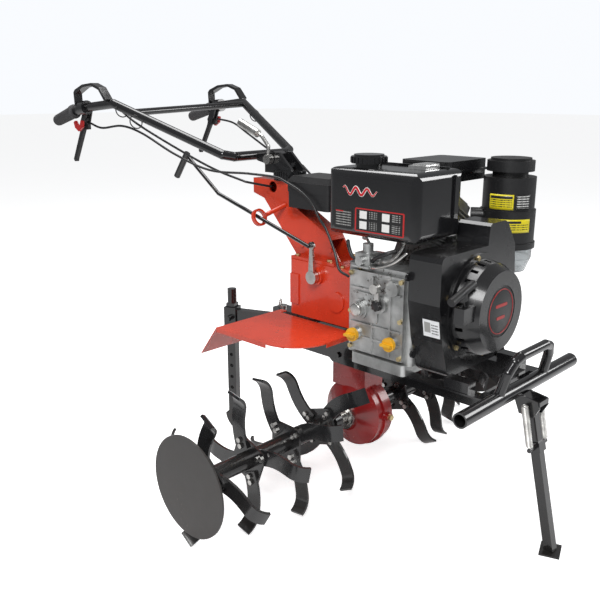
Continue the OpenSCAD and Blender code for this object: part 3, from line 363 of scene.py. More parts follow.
def use_group(tree, maker, inputs):
    """Places a shared group in a material, making the group the first time."""
    if maker not in GROUPS:
        GROUPS[maker] = maker()
    made = put(tree, "ShaderNodeGroup", node_tree=GROUPS[maker])
    for key, value in inputs.items():
        if isinstance(value, bpy.types.NodeSocket):
            tree.links.new(value, made.inputs[key])
        else:
            made.inputs[key].default_value = value
    return made


def mixed(tree, mask, first, second):
    """The first colour where the mask is 0 and the second where it is 1."""
    mix = put(tree, "ShaderNodeMix", data_type="RGBA")
    for index, value in ((0, mask), (6, first), (7, second)):
        if isinstance(value, bpy.types.NodeSocket):
            tree.links.new(value, mix.inputs[index])
        else:
            mix.inputs[index].default_value = value
    return mix.outputs[2]


def rgba(colour):
    """A colour of three numbers with full opacity."""
    return (*tuple(colour)[:3], 1.0)


def cover(tree, colour, surface, bump):
    """Leads a colour, and the roughness and height of a grained surface, into the shader of a material."""
    shader = tree.nodes["Principled BSDF"]
    tree.links.new(colour, shader.inputs["Base Color"])
    tree.links.new(surface.outputs["Roughness"], shader.inputs["Roughness"])
    relief = put(
        tree, "ShaderNodeBump", {"Height": surface.outputs["Height"], "Strength": bump, "Distance": 0.001}
    )
    tree.links.new(relief.outputs[0], shader.inputs["Normal"])


def finish(
    name, colour, metal=0.0, rough=0.4, spread=0.06, drift=0.12, drift_scale=9.0, grain=300.0, waves=0.3,
    bump=0.03, coat=0.0, chips=0.0, chip_colour=(0.35, 0.34, 0.33), chip_scale=60.0, dust=0.0, reach=0.3,
):
    """A finish: a drifting colour with worn spots and dust over it, grain in its height and roughness."""
    material = bpy.data.materials.new(name)
    material.use_nodes = True
    tree = material.node_tree
    shader = tree.nodes["Principled BSDF"]
    drifting = {"Color": rgba(colour), "Spread": drift, "Scale": drift_scale}
    base = use_group(tree, drift_group, drifting).outputs[0]
    grained = {"Scale": grain, "Waves": waves, "Roughness": rough, "Spread": spread}
    surface = use_group(tree, grain_group, grained)
    if chips:
        spots = use_group(tree, chips_group, {"Scale": chip_scale, "Amount": chips}).outputs[0]
        base = mixed(tree, spots, base, rgba(chip_colour))
    if dust:
        film = use_group(tree, dust_group, {"Amount": dust, "Reach": reach}).outputs[0]
        base = mixed(tree, film, base, (0.30, 0.25, 0.20, 1.0))
    cover(tree, base, surface, bump)
    shader.inputs["Metallic"].default_value = metal
    shader.inputs["Coat Weight"].default_value = coat
    shader.inputs["Coat Roughness"].default_value = 0.06
    return material


MATERIALS = {}


def material_of(maker):
    """The material that a maker gives, made once."""
    if maker not in MATERIALS:
        MATERIALS[maker] = maker()
    return MATERIALS[maker]


def colours():
    """The colours that the user can change."""
    return bpy.context.scene.tiller_colours


# ------------------------------------------------------------------ finishes


def red_enamel():
    """Glossy orange-red enamel of the column, the gearbox and the fenders."""
    return finish(
        "red enamel", colours().panels, rough=0.26, drift=0.14, grain=420, waves=6.0, bump=0.05, coat=0.45,
        chips=0.14, chip_colour=(0.25, 0.05, 0.03), chip_scale=90, dust=0.10, reach=0.2,
    )


def black_enamel():
    """Glossy black enamel of the tubes and brackets."""
    return finish(
        "black enamel", colours().frame, rough=0.15, drift=0.25, grain=380, waves=6.0, bump=0.05, coat=0.5,
        chips=0.12, chip_colour=(0.06, 0.057, 0.054), dust=0.06, reach=0.3,
    )


def tine_enamel():
    """Black enamel of the tines, worn to grey in places and dusty."""
    return finish(
        "tine enamel", (0.012, 0.012, 0.013), rough=0.24, spread=0.10, drift=0.3, grain=240, waves=6.0,
        bump=0.10,
        coat=0.35, chips=0.22, chip_colour=(0.09, 0.08, 0.075), chip_scale=45, dust=0.08, reach=0.25,
    )


def disc_enamel():
    """Flat dark paint of the end discs, rubbed and dusty."""
    return finish(
        "disc enamel", (0.028, 0.025, 0.024), rough=0.40, spread=0.10, drift=0.22, drift_scale=14,
        grain=180, waves=4.0,
        bump=0.10, chips=0.25, chip_colour=(0.07, 0.06, 0.055), chip_scale=120, dust=0.08, reach=0.4,
    )


def fan_enamel():
    """Satin black enamel of the fan cowl and the muffler cover."""
    return finish(
        "fan enamel", (0.010, 0.010, 0.011), rough=0.25, drift=0.2, grain=420, waves=5.0, bump=0.05,
        coat=0.3, dust=0.05,
    )


def tank_enamel():
    """Glossy black enamel of the fuel tank."""
    return finish(
        "tank enamel", (0.008, 0.008, 0.009), rough=0.13, drift=0.2, grain=300, waves=8.0, bump=0.03,
        coat=0.7, dust=0.03,
    )


def cast_alloy():
    """Sand-cast aluminium with a fine open grain and dull stains."""
    return finish(
        "cast alloy", (0.46, 0.465, 0.46), metal=0.85, rough=0.38, spread=0.12, drift=0.34, drift_scale=24,
        grain=700,
        waves=1.5, bump=0.35, chips=0.45, chip_colour=(0.13, 0.12, 0.11), chip_scale=70,
    )


def machined_steel():
    """Turned or rolled bare steel with a faint oily stain."""
    return finish(
        "machined steel", (0.58, 0.57, 0.55), metal=1.0, rough=0.27, spread=0.12, drift=0.2,
        drift_scale=40, grain=900,
        waves=1.0, bump=0.08, chips=0.1, chip_colour=(0.20, 0.15, 0.10), chip_scale=120,
    )


def plated_strap():
    """Bright zinc-plated sheet of the tank's strap."""
    return finish(
        "plated strap", (0.72, 0.72, 0.71), metal=0.9, rough=0.28, spread=0.1, drift=0.2, drift_scale=50,
        grain=800, bump=0.06,
    )


def plated_steel():
    """Zinc-plated bolts with a yellow passivated film."""
    return finish(
        "plated steel", (0.62, 0.50, 0.27), metal=0.95, rough=0.3, spread=0.1, drift=0.3, drift_scale=60,
        grain=800,
        bump=0.08,
    )


def spring_wire():
    """Bright drawn wire."""
    return finish(
        "spring wire", (0.86, 0.85, 0.82), metal=0.8, rough=0.30, drift=0.25, drift_scale=50, grain=900,
        bump=0.06,
    )


def grip_rubber():
    """Dark grey rubber, matt with a fine pebble."""
    return finish(
        "grip rubber", (0.035, 0.035, 0.038), rough=0.62, drift=0.25, drift_scale=30, grain=1500,
        waves=0.5, bump=0.5,
        dust=0.12, reach=1.4,
    )


def moulded_black():
    """Black moulded plastic with a fine matt texture."""
    return finish(
        "moulded black", (0.014, 0.014, 0.015), rough=0.34, spread=0.08, drift=0.2, grain=1300, waves=1.0,
        bump=0.22,
        dust=0.08, reach=0.2,
    )


def red_nylon():
    """Red moulded nylon of the catches."""
    return finish(
        "red nylon", (0.42, 0.012, 0.012), rough=0.33, drift=0.15, drift_scale=40, grain=1100, bump=0.15
    )


def yellow_nylon():
    """Yellow moulded nylon of the oil plugs."""
    return finish(
        "yellow nylon", (0.80, 0.42, 0.02), rough=0.36, drift=0.15, drift_scale=40, grain=1100, bump=0.15
    )


def filter_foam():
    """Open-cell foam of the air filter."""
    return finish(
        "filter foam", (0.42, 0.33, 0.14), rough=0.9, drift=0.3, drift_scale=60, grain=1600, bump=0.9
    )


def cable_sheath():
    """Black sheath of the control cables."""
    return finish(
        "cable sheath", (0.014, 0.014, 0.015), rough=0.36, drift=0.2, drift_scale=60, grain=1200, bump=0.15
    )


def clear_bowl():
    """Smoky clear plastic of the air cleaner's bowl."""
    material = bpy.data.materials.new("clear bowl")
    material.use_nodes = True
    tree = material.node_tree
    shader = tree.nodes["Principled BSDF"]
    tint = {"Color": (0.86, 0.89, 0.90, 1), "Spread": 0.05, "Scale": 30.0}
    shade = use_group(tree, drift_group, tint).outputs[0]
    surface = use_group(tree, grain_group, {"Scale": 500.0, "Waves": 3.0, "Roughness": 0.10, "Spread": 0.03})
    cover(tree, shade, surface, 0.05)
    shader.inputs["Transmission Weight"].default_value = 0.9
    shader.inputs["IOR"].default_value = 1.3
    return material


# ------------------------------------------------------------------ printed stickers


def inside(tree, value, low, high):
    """A mask that is 1 where the value lies between low and high."""
    above = put(tree, "ShaderNodeMath", {0: value, 1: low}, operation="GREATER_THAN")
    below = put(tree, "ShaderNodeMath", {0: value, 1: high}, operation="LESS_THAN")
    return both_masks(tree, above.outputs[0], below.outputs[0])


def both_masks(tree, first, second):
    """A mask that is 1 where both masks are."""
    return put(tree, "ShaderNodeMath", {0: first, 1: second}, operation="MULTIPLY").outputs[0]


def printed(name, ground, marks, rough=0.3):
    """A printed sticker: coloured boxes of its own UV over a ground colour, and rows of short grey bars.

    Each mark holds a colour, its range across, its range up, and its rows of bars (0 for solid)."""
    material = bpy.data.materials.new(name)
    material.use_nodes = True
    tree = material.node_tree
    shader = tree.nodes["Principled BSDF"]
    place = put(tree, "ShaderNodeSeparateXYZ", {0: put(tree, "ShaderNodeTexCoord").outputs["UV"]})
    across, upward = place.outputs["X"], place.outputs["Y"]
    colour = use_group(tree, drift_group, {"Color": rgba(ground), "Spread": 0.08, "Scale": 60.0}).outputs[0]
    for ink, (left, right), (low, high), rows in marks:
        mask = both_masks(tree, inside(tree, across, left, right), inside(tree, upward, low, high))
        if rows:
            dense = rows / (high - low)
            step = put(tree, "ShaderNodeMath", {0: upward, 1: dense}, operation="MULTIPLY").outputs[0]
            part = put(tree, "ShaderNodeMath", {0: step}, operation="FRACT").outputs[0]
            gaps = put(tree, "ShaderNodeMath", {0: across, 1: 38.0}, operation="MULTIPLY").outputs[0]
            words = put(
                tree, "ShaderNodeTexNoise", {"W": gaps, "Scale": 1.0, "Detail": 0.0}, noise_dimensions="1D"
            )
            mask = both_masks(tree, mask, inside(tree, part, 0.25, 0.7))
            mask = both_masks(tree, mask, inside(tree, words.outputs[0], 0.42, 1.0))
        colour = mixed(tree, mask, colour, rgba(ink))
    surface = use_group(tree, grain_group, {"Scale": 900.0, "Waves": 2.0, "Roughness": rough, "Spread": 0.05})
    cover(tree, colour, surface, 0.05)
    return material


PALE = (0.75, 0.75, 0.73)
INK = (0.02, 0.02, 0.02)
DULL = (0.32, 0.32, 0.31)
RED_INK = (0.45, 0.02, 0.02)
YELLOW = (0.78, 0.66, 0.02)


def tank_panel_print():
    """Black panel with a red border, four pale picture squares and rows of bars beside them."""
    border = [
        (RED_INK, (0.0, 0.03), (0, 1), 0), (RED_INK, (0.97, 1.0), (0, 1), 0),
        (RED_INK, (0, 1), (0.0, 0.05), 0), (RED_INK, (0, 1), (0.95, 1.0), 0),
    ]
    squares = [
        (PALE, (left, left + 0.15), (low, low + 0.33), 0) for left in (0.10, 0.56) for low in (0.12, 0.56)
    ]
    rows = [
        (DULL, (left, left + 0.16), (low, low + 0.33), 4) for left in (0.30, 0.76) for low in (0.12, 0.56)
    ]
    return printed("tank panel print", (0.012, 0.012, 0.012), border + squares + rows)


def tank_note_print():
    """Black panel with rows of grey bars."""
    marks = [(DULL, (0.08, 0.92), (0.1, 0.9), 6), (RED_INK, (0.08, 0.5), (0.86, 0.92), 0)]
    return printed("tank note print", (0.014, 0.014, 0.014), marks)


def yellow_print():
    """Yellow caution-coloured label with a black head band and rows of bars."""
    marks = [(INK, (0.05, 0.95), (0.72, 0.90), 0), (INK, (0.06, 0.94), (0.1, 0.66), 4)]
    return printed("yellow label print", YELLOW, marks)


def yellow_strip_print():
    """Yellow label with a pale head band and rows of bars."""
    marks = [(INK, (0.30, 0.72), (0.70, 0.88), 0), (INK, (0.05, 0.95), (0.12, 0.62), 3)]
    return printed("yellow strip print", YELLOW, marks)


def note_print():
    """Black label with rows of pale bars."""
    return printed("note print", (0.015, 0.015, 0.015), [(PALE, (0.08, 0.92), (0.1, 0.9), 5)])


def cowl_print():
    """White label with a grey square and a few bars."""
    marks = [(DULL, (0.08, 0.45), (0.25, 0.85), 0), (INK, (0.52, 0.92), (0.2, 0.85), 4)]
    return printed("cowl label print", (0.78, 0.79, 0.80), marks)


def flourish_red():
    """Red ink of the tank's flourish."""
    return finish(
        "flourish red", (0.50, 0.012, 0.02), rough=0.3, drift=0.1, drift_scale=60, grain=900, bump=0.05
    )


def flourish_white():
    """White outline of the tank's flourish."""
    return finish(
        "flourish white", (0.70, 0.66, 0.64), rough=0.3, drift=0.1, drift_scale=60, grain=900, bump=0.05
    )


# ------------------------------------------------------------------ fitting


def coat(nodes, maker):
    """Gives CAD nodes one finish."""
    for name in nodes.split():
        slots = NODES[name].data.materials
        slots.clear()
        slots.append(material_of(maker))


def fit(piece, body, maker, replaces=()):
    """Gives a new piece its finish, its body and the CAD nodes it stands for."""
    piece.data.materials.append(material_of(maker))
    if body:
        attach(piece, body)
    if replaces:
        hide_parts(*replaces)
    return piece


# ------------------------------------------------------------------ properties


def colour_property(name, description, default):
    """A colour that the user can change."""
    return bpy.props.FloatVectorProperty(
        name=name, description=description, subtype="COLOR", size=3, min=0, max=1, default=default
    )


def length_property(name, description, default):
    """A length in metres that the user can change."""
    return bpy.props.FloatProperty(
        name=name, description=description, unit="LENGTH", subtype="DISTANCE", default=default
    )


class TillerColours(bpy.types.PropertyGroup):
    """Colours of the main finishes."""

    panels: colour_property("Panels", "Enamel of the column, gearbox and fenders", (0.62, 0.046, 0.014))
    # hub: painted shade, the darker red that the gearbox case turns to low down under the fenders
    hub: colour_property("Hub", "Enamel of the hub castings", (0.28, 0.010, 0.010))
    frame: colour_property("Frame", "Enamel of the tubes and brackets", (0.010, 0.010, 0.011))
    floor: colour_property("Floor", "Studio floor", (0.86, 0.86, 0.86))


class TillerSizes(bpy.types.PropertyGroup):
    """Sizes of the added pieces."""

    cable: length_property("Cable radius", "Radius of a control cable", 0.0031)
    spring_wire: length_property("Spring wire", "Radius of the spring wire", 0.0017)
    spring_radius: length_property("Spring radius", "Radius of the spring's middle line", 0.0064)
    sticker: length_property("Sticker thickness", "Thickness of the stickers", 0.0004)


class TillerStage(bpy.types.PropertyGroup):
    """Camera and light of the studio."""

    lens: bpy.props.FloatProperty(name="Lens", description="Focal length", unit="CAMERA", default=45.06)
    azimuth: bpy.props.FloatProperty(
        name="Azimuth", description="Camera's turn round the machine", subtype="ANGLE",
        default=math.radians(-45.9),
    )
    elevation: bpy.props.FloatProperty(
        name="Elevation", description="Camera's height above the horizon", subtype="ANGLE",
        default=math.radians(15.6),
    )
    key: bpy.props.FloatProperty(
        name="Key light", description="Power of the main light", unit="POWER", default=92.0
    )
    fill: bpy.props.FloatProperty(
        name="Fill light", description="Power of the fill light", unit="POWER", default=30.0
    )
    sky: bpy.props.FloatProperty(name="Surroundings", description="Strength of the even light", default=0.24)


# ------------------------------------------------------------------ pieces


class TILLER_OT_coat_panels(bpy.types.Operator):
    """Paints the column, the gearbox, the fenders and the hub, with painted shade as a darker red low on the
    gearbox case
    """

    bl_idname = "tiller.coat_panels"
    bl_label = "Paint the panels"

    def execute(self, context):
        coat("gearbox_lid fender_plates steering_column clutch_housing", red_enamel)
        coat("gearbox_case", gearbox_enamel_painted_shade)
        return {"FINISHED"}


def gearbox_enamel_painted_shade():
    """Panel enamel above the leg, and painted shade at the rotor: a darker red low on the case, under the
    fenders.
    """
    material = red_enamel()
    material.name = "gearbox enamel painted shade"
    tree = material.node_tree
    shader = tree.nodes["Principled BSDF"]
    above = shader.inputs["Base Color"].links[0].from_socket
    # painted shade: below a height line the panel red turns to this darker red
    hub_shade_drift = {"Color": rgba(colours().hub), "Spread": 0.2, "Scale": 14.0}
    hub = use_group(tree, drift_group, hub_shade_drift).outputs[0]
    place = put(tree, "ShaderNodeSeparateXYZ", {0: put(tree, "ShaderNodeTexCoord").outputs["Object"]})
    low = put(tree, "ShaderNodeMapRange", {
        "Value": place.outputs["Z"], "From Min": 0.285, "From Max": 0.325, "To Min": 1.0, "To Max": 0.0,
    })
    tree.links.new(mixed(tree, low.outputs[0], above, hub), shader.inputs["Base Color"])
    return material


class TILLER_OT_coat_frame(bpy.types.Operator):
    """Paints the tubes, brackets and rods"""

    bl_idname = "tiller.coat_frame"
    bl_label = "Paint the frame"

    def execute(self, context):
        coat(
            "fender_brackets swivel_disc tilt_bracket handlebar front_frame stand_leg hitch_bracket"
            " drawbar_holder depth_bar shift_rod",
            black_enamel,
        )
        coat("tines tine_tubes", tine_enamel)
        coat("end_discs", disc_enamel)
        return {"FINISHED"}


class TILLER_OT_coat_engine(bpy.types.Operator):
    """Gives the engine's castings, covers and tank their finishes"""

    bl_idname = "tiller.coat_engine"
    bl_label = "Finish the engine"

    def execute(self, context):
        coat("crankcase side_cover cylinder_block cylinder_head", cast_alloy)
        coat("rocker_cover injection_pump flywheel", cast_alloy)
        coat("fan_cowl starter_housing muffler", fan_enamel)
        coat("tank_strap", plated_strap)
        coat("fuel_tank tank_cap", tank_enamel)
        coat("air_cleaner starter_grip", moulded_black)
        coat("cleaner_bowl", clear_bowl)
        coat("air_filter", filter_foam)
        coat("oil_plugs", yellow_nylon)
        return {"FINISHED"}


class TILLER_OT_coat_fittings(bpy.types.Operator):
    """Gives shafts, gears, bolts, levers and rubber parts their finishes"""

    bl_idname = "tiller.coat_fittings"
    bl_label = "Finish the fittings"

    def execute(self, context):
        coat(
            "hub_seals shaft_bearings rotor_shaft hub_gear upright_shaft input_shaft crankshaft clutch_drum"
            " speed_lever shift_arm tine_bolts clamp_lever hitch_pin fuel_pipes",
            machined_steel,
        )
        coat("case_bolts", plated_steel)
        coat("stand_springs", spring_wire)
        coat("grips", grip_rubber)
        coat("control_cables", cable_sheath)
        coat("toolbox toolbox_lid near_hand_lever far_hand_lever", moulded_black)
        coat("near_catch far_catch", red_nylon)
        return {"FINISHED"}


class TILLER_OT_add_springs(bpy.types.Operator):
    """Winds the two stand springs"""

    bl_idname = "tiller.add_springs"
    bl_label = "Wind the springs"

    def execute(self, context):
        sizes = context.scene.tiller_sizes
        for name, x in (("near_stand_spring", -33.5), ("far_stand_spring", 33.5)):
            top, bottom = route((x, -480, 337), (x, -500, 243))
            piece = tube(name, spring_path(top, bottom, 26, sizes.spring_radius), sizes.spring_wire, 8)
            fit(piece, None, spring_wire, ["stand_springs"])
            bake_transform(piece)
        return {"FINISHED"}


def spring_path(top, bottom, turns, radius):
    """A helix from top to bottom: the middle line plus a turning radius, drawn in to a quarter of the radius
    at each end.
    """
    t = np.linspace(0, 1, turns * 14)
    angle = 2 * np.pi * turns * t
    width = radius * np.clip(np.minimum(t, 1 - t) * 30, 0.25, 1.0)
    ring = np.stack([np.cos(angle), np.sin(angle), np.zeros_like(t)], -1)
    return top + (bottom - top) * t[:, None] + width[:, None] * ring


class TILLER_OT_add_cables(bpy.types.Operator):
    """Lays the clutch cable, the reverse cable and the throttle wire along their clips"""

    bl_idname = "tiller.add_cables"
    bl_label = "Lay the cables"

    def execute(self, context):
        radius = context.scene.tiller_sizes.cable
        for name, (rear, front) in CABLES.items():
            for part, points, bodies, reach in (
                ("rear", rear, ("swivel", "bar"), (330, 470)),
                ("front", front, ("chassis", "swivel"), (208, 296)),
            ):
                path = smooth_route(route(*points))
                piece = tube(f"{name}_{part}", path, radius, 12, reference=(0.9, 0.1, 0.4))
                fit(piece, None, cable_sheath, ["control_cables"])
                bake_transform(piece)
        return {"FINISHED"}


# Each cable's points behind the swivel and before it, with the last point of one the first of the other
CABLES = {
    "clutch_cable": (
        [
            (-240, 836, 890), (-236, 780, 878), (-228, 690, 886), (-222, 600, 868), (-196, 496, 818),
            (-160, 396, 780), (-110, 300, 774),
        ],
        [
            (-110, 300, 774), (-80, 230, 768), (-72, 196, 756), (-70, 150, 738), (-70, 110, 712),
            (-72, 84, 680), (-78, 52, 652), (-110, -4, 610), (-146, -50, 582), (-152, -84, 572),
        ],
    ),
    "reverse_cable": (
        [(240, 836, 890), (226, 740, 880), (200, 640, 850), (160, 480, 800), (118, 380, 790), (96, 300, 780)],
        [
            (96, 300, 780), (100, 262, 748), (96, 222, 716), (86, 150, 690), (78, 90, 650), (76, 40, 600),
            (70, 16, 552),
        ],
    ),
    "throttle_wire": (
        [
            (-222, 760, 962), (-212, 712, 926), (-200, 640, 886), (-166, 500, 822), (-134, 400, 778),
            (-100, 320, 750),
        ],
        [(-100, 320, 750), (-60, 300, 740), (-32, 292, 734)],
    ),
}


class TILLER_OT_add_grips(bpy.types.Operator):
    """Slips ribbed, tapered rubber grips on the handlebar ends"""

    bl_idname = "tiller.add_grips"
    bl_label = "Slip on the grips"

    def execute(self, context):
        for name, side in (("near_grip", -1), ("far_grip", 1)):
            piece = turned(name, at(side * 255.6, 890, 923), at(side * 256, 998, 892.6), *grip_profile())
            fit(piece, "bar", grip_rubber, ["grips"])
        return {"FINISHED"}


def grip_profile():
    """Places along the grip and the radius at each: a flange, a ribbed tapering sleeve and a rounded end."""
    t = np.linspace(0, 1, 140)
    sleeve = 0.0180 - 0.0022 * t + 0.0006 * np.sign(np.sin(2 * np.pi * 17 * t)) * (t > 0.12) * (t < 0.9)
    flange = np.where(t < 0.07, 0.0205, sleeve)
    end = np.sqrt(np.clip(1 - (np.clip(t - 0.93, 0, None) / 0.07) ** 2, 0.0, 1))
    radii = np.maximum(flange * end, 0.0002)
    radii[0] = 0.0126
    return t, radii


class TILLER_OT_add_tank_stickers(bpy.types.Operator):
    """Puts the flourish and two printed panels on the tank's side"""

    bl_idname = "tiller.add_tank_stickers"
    bl_label = "Stick the tank's panels"

    def execute(self, context):
        thick = context.scene.tiller_sizes.sticker
        side = -150.1
        right, up = (0, -1, 0), (0, 0, 1)
        panel = plate("tank_panel", at(side, -166, 706), right, up, 0.068, 0.026, 0.004, thick)
        fit(panel, "chassis", tank_panel_print)
        note = plate("tank_note", at(side, -64, 703), right, up, 0.027, 0.022, 0.003, thick)
        fit(note, "chassis", tank_note_print)
        for name, width, maker, lift in (
            ("flourish_edge", 0.0085, flourish_white, 0.0003), ("flourish", 0.0055, flourish_red, 0.0007),
        ):
            fit(ribbon(name, width, lift), "chassis", maker)
        return {"FINISHED"}


def ribbon(name, width, lift):
    """A wavy ribbon on the tank's side: three falling sine humps, broad in the middle and thin at the ends."""
    t = np.linspace(0, 1, 90)
    y = -62 - 96 * t
    z = 768 + 9 * np.sin(2 * np.pi * 3 * t + 0.6) * (1 - 0.3 * t)
    middle = np.stack([np.full_like(t, -0.15 - lift), AXLE.y + y * MM, z * MM], -1)
    along = np.gradient(middle, axis=0)
    along /= np.linalg.norm(along, axis=1, keepdims=True)
    across = np.cross(along, np.array([1.0, 0, 0]))
    half = (width / 2) * (0.35 + 0.65 * np.sin(np.pi * t))[:, None]
    u = np.linspace(-1, 1, 5)
    points = middle[:, None] + u[None, :, None] * (half * across)[:, None]
    piece = new_piece(name, points.reshape(-1, 3), grid_faces(90, 5, False)[:, ::-1])
    wall = piece.modifiers.new("thickness", "SOLIDIFY")
    wall.thickness = 0.0003
    return piece


class TILLER_OT_add_engine_labels(bpy.types.Operator):
    """Wraps the labels round the air cleaner and the cowl"""

    bl_idname = "tiller.add_engine_labels"
    bl_label = "Wrap the engine labels"

    def execute(self, context):
        down = (0, 0, 1)
        first, second = (1, 0, 0), (0, 1, 0)
        low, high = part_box("cleaner_bowl")
        middle = ((low.x + high.x) / 2, (low.y + high.y) / 2)
        for name, z, tall, spread, maker, radius in (
            ("caution_label", 0.728, 0.036, (-195, -140), yellow_print, 0.0622),
            ("note_label", 0.728, 0.036, (-136, -100), note_print, 0.0622),
            ("yellow_strip", 0.672, 0.032, (-178, -100), yellow_strip_print, 0.0662),
        ):
            piece = wrapped_label(name, (*middle, z), down, first, second, radius, spread, tall)
            fit(piece, "chassis", maker)
        centre = at(0, -297, 519)
        slope = (-0.185, 0, 0.983)
        piece = plate("cowl_label", at(-140.2, -307, 493), (0, -1, 0), slope, 0.021, 0.020, 0.0006, 0.0002)
        fit(piece, "chassis", cowl_print)
        return {"FINISHED"}


class TILLER_OT_add_starter_face(bpy.types.Operator):
    """Sets the red-ringed badge plate in the starter's face"""

    bl_idname = "tiller.add_starter_face"
    bl_label = "Set the starter's face"

    def execute(self, context):
        face = turned("starter_badge", at(0, -389, 519), at(0, -390.6, 519), *badge_profile(), sides=72)
        fit(face, "chassis", moulded_black)
        ring = np.linspace(0, 2 * np.pi, 97)
        circle = np.array(at(0, -390.4, 519)) + 0.050 * np.stack([np.cos(ring), 0 * ring, np.sin(ring)], -1)
        outline = tube("starter_ring", circle, 0.0011, 8, reference=(0, 1, 0), round_ends=False)
        fit(outline, "chassis", red_nylon)
        for name, z, half in (("badge_bar_upper", 533, 0.024), ("badge_bar_lower", 505, 0.017)):
            bar = plate(name, at(0, -390.5, z), (1, 0, 0), (0, 0, 1), half, 0.0035, 0.003, 0.0007)
            fit(bar, "chassis", red_nylon)
        return {"FINISHED"}


def badge_profile():
    """Places along the badge's axis and the radius at each: a flat disc with a rolled edge."""
    return np.array([0.0, 0.0, 0.6, 1.0, 1.0]), np.array([0.0005, 0.057, 0.057, 0.055, 0.0005])


class TILLER_OT_add_engine_fittings(bpy.types.Operator):
    """Adds the raised plate, the cap, the star knob and the hoses on the engine's near side"""

    bl_idname = "tiller.add_engine_fittings"
    bl_label = "Add the engine's fittings"

    def execute(self, context):
        pad = plate(
            "cover_pad", at(-140.2, -127, 506), (0, -1, 0), (0, 0, 1), 0.036, 0.034, 0.006, 0.004, 0.001
        )
        fit(pad, "chassis", cast_alloy)
        upright = (0, 0, 1)
        cap = turned(
            "oil_cap", at(-157, -113, 500), at(-163, -113, 500), *cap_profile(0.015), 48, upright
        )
        fit(cap, "chassis", machined_steel)
        knob = turned(
            "star_knob", at(-152, -170, 520), at(-163, -170, 520), *cap_profile(0.012), 40, upright
        )
        lobed(knob, at(-157, -170, 520), 8)
        fit(knob, "speed", moulded_black)
        for name, points, radius, maker in (
            ("fuel_hose_long", [(-137, -205, 646), (-152, -190, 640), (-154, -165, 628), (-146, -148, 616)],
             0.0048, cable_sheath),
            ("return_hose", [(-140, -112, 612), (-154, -98, 620), (-152, -84, 640), (-142, -72, 652)],
             0.0042, cable_sheath),
            ("lift_pipe", [(-131, -96, 596), (-146, -130, 602), (-153, -168, 606), (-150, -208, 622),
                           (-140, -236, 646)], 0.0034, machined_steel),
        ):
            piece = tube(name, smooth_route(route(*points), 10), radius, 14)
            fit(piece, "chassis", maker)
        for name, y, z in (("pump_nut", -150, 616), ("lift_nut", -98, 596)):
            nut = turned(name, at(-131, y, z), at(-131, y - 9, z), *cap_profile(0.0085), sides=6)
            fit(nut, "chassis", plated_steel)
        return {"FINISHED"}


def cap_profile(radius):
    """Places along a cap's axis and the radius at each: a straight wall with a rounded front edge."""
    return np.array([0.0, 0.0, 0.7, 0.9, 1.0, 1.0]), radius * np.array([0.02, 1.0, 1.0, 0.93, 0.8, 0.02])


def lobed(piece, centre, lobes):
    """Gives a round knob its lobes: a point's distance from the axis follows a cosine round it."""
    count = len(piece.data.vertices)
    points = np.empty(count * 3)
    piece.data.vertices.foreach_get("co", points)
    points = points.reshape(-1, 3)
    off = points - np.array(centre)
    angle = np.arctan2(off[:, 2], off[:, 1])
    grow = 1 + 0.12 * np.cos(lobes * angle)
    points[:, 1] = centre[1] + off[:, 1] * grow
    points[:, 2] = centre[2] + off[:, 2] * grow
    piece.data.vertices.foreach_set("co", points.ravel())
    piece.data.update()


class TILLER_OT_add_cable_clips(bpy.types.Operator):
    """Closes clips and ties round the cables and the bar"""

    bl_idname = "tiller.add_cable_clips"
    bl_label = "Close the cable clips"

    def execute(self, context):
        for name, centre, radius in (
            ("near_cable_tie", (-228, 620, 899), 0.0165), ("near_bend_tie", (-232, 680, 928), 0.0165),
            ("far_cable_tie", (212, 620, 906), 0.0165),
        ):
            ring = np.linspace(0, 2 * np.pi, 49)
            side = np.array([0.94, -0.32, -0.05])
            up = np.array([0.0, 0.15, 1.0])
            circle = np.array(at(*centre)) + radius * (
                np.cos(ring)[:, None] * side + np.sin(ring)[:, None] * up * 1.05
            )
            piece = tube(name, circle, 0.0016, 8, reference=(0.3, 0.94, 0.0), round_ends=False)
            fit(piece, "bar", moulded_black)
        return {"FINISHED"}


class TILLER_OT_set_stage(bpy.types.Operator):
    """Sets the floor, the soft lights and the camera"""

    bl_idname = "tiller.set_stage"
    bl_label = "Set the stage"

    def execute(self, context):
        stage = context.scene.tiller_stage
        floor = new_piece("floor", np.array([[-30, -30, 0], [30, -30, 0], [30, 30, 0], [-30, 30, 0]], float),
                          np.array([[0, 1, 2, 3]]), smooth=False)
        floor.data.materials.append(floor_finish())
        world = bpy.data.worlds.new("studio")
        context.scene.world = world
        world.use_nodes = True
        light_the_sky(world.node_tree, stage.sky)
        for name, place, size, power in (
            ("key light", (-2.4, -1.6, 2.8), 1.4, stage.key),
            ("fill light", (2.4, -2.2, 1.8), 1.2, stage.fill),
            ("top light", (0.2, 0.6, 3.2), 1.8, stage.key * 0.7),
        ):
            lamp = bpy.data.lights.new(name, "AREA")
            lamp.energy = power
            lamp.size = size
            holder = bpy.data.objects.new(name, lamp)
            context.scene.collection.objects.link(holder)
            holder.location = place
            holder.rotation_mode = "QUATERNION"
            holder.rotation_quaternion = (Vector((0, 0, 0.45)) - Vector(place)).to_track_quat("-Z", "Y")
        place_camera(context, stage)
        context.scene.view_settings.view_transform = "Standard"
        return {"FINISHED"}


def light_the_sky(tree, strength):
    """An even sky: nearly white where it is seen, and dimmer where it only lights the machine."""
    sky = tree.nodes["Background"]
    sky.inputs["Color"].default_value = (0.95, 0.97, 1.0, 1.0)
    seen = tree.nodes.new("ShaderNodeLightPath").outputs["Is Camera Ray"]
    level = put(tree, "ShaderNodeMath", {0: seen, 1: 1.0 - strength, 2: strength}, operation="MULTIPLY_ADD")
    tree.links.new(level.outputs[0], sky.inputs["Strength"])


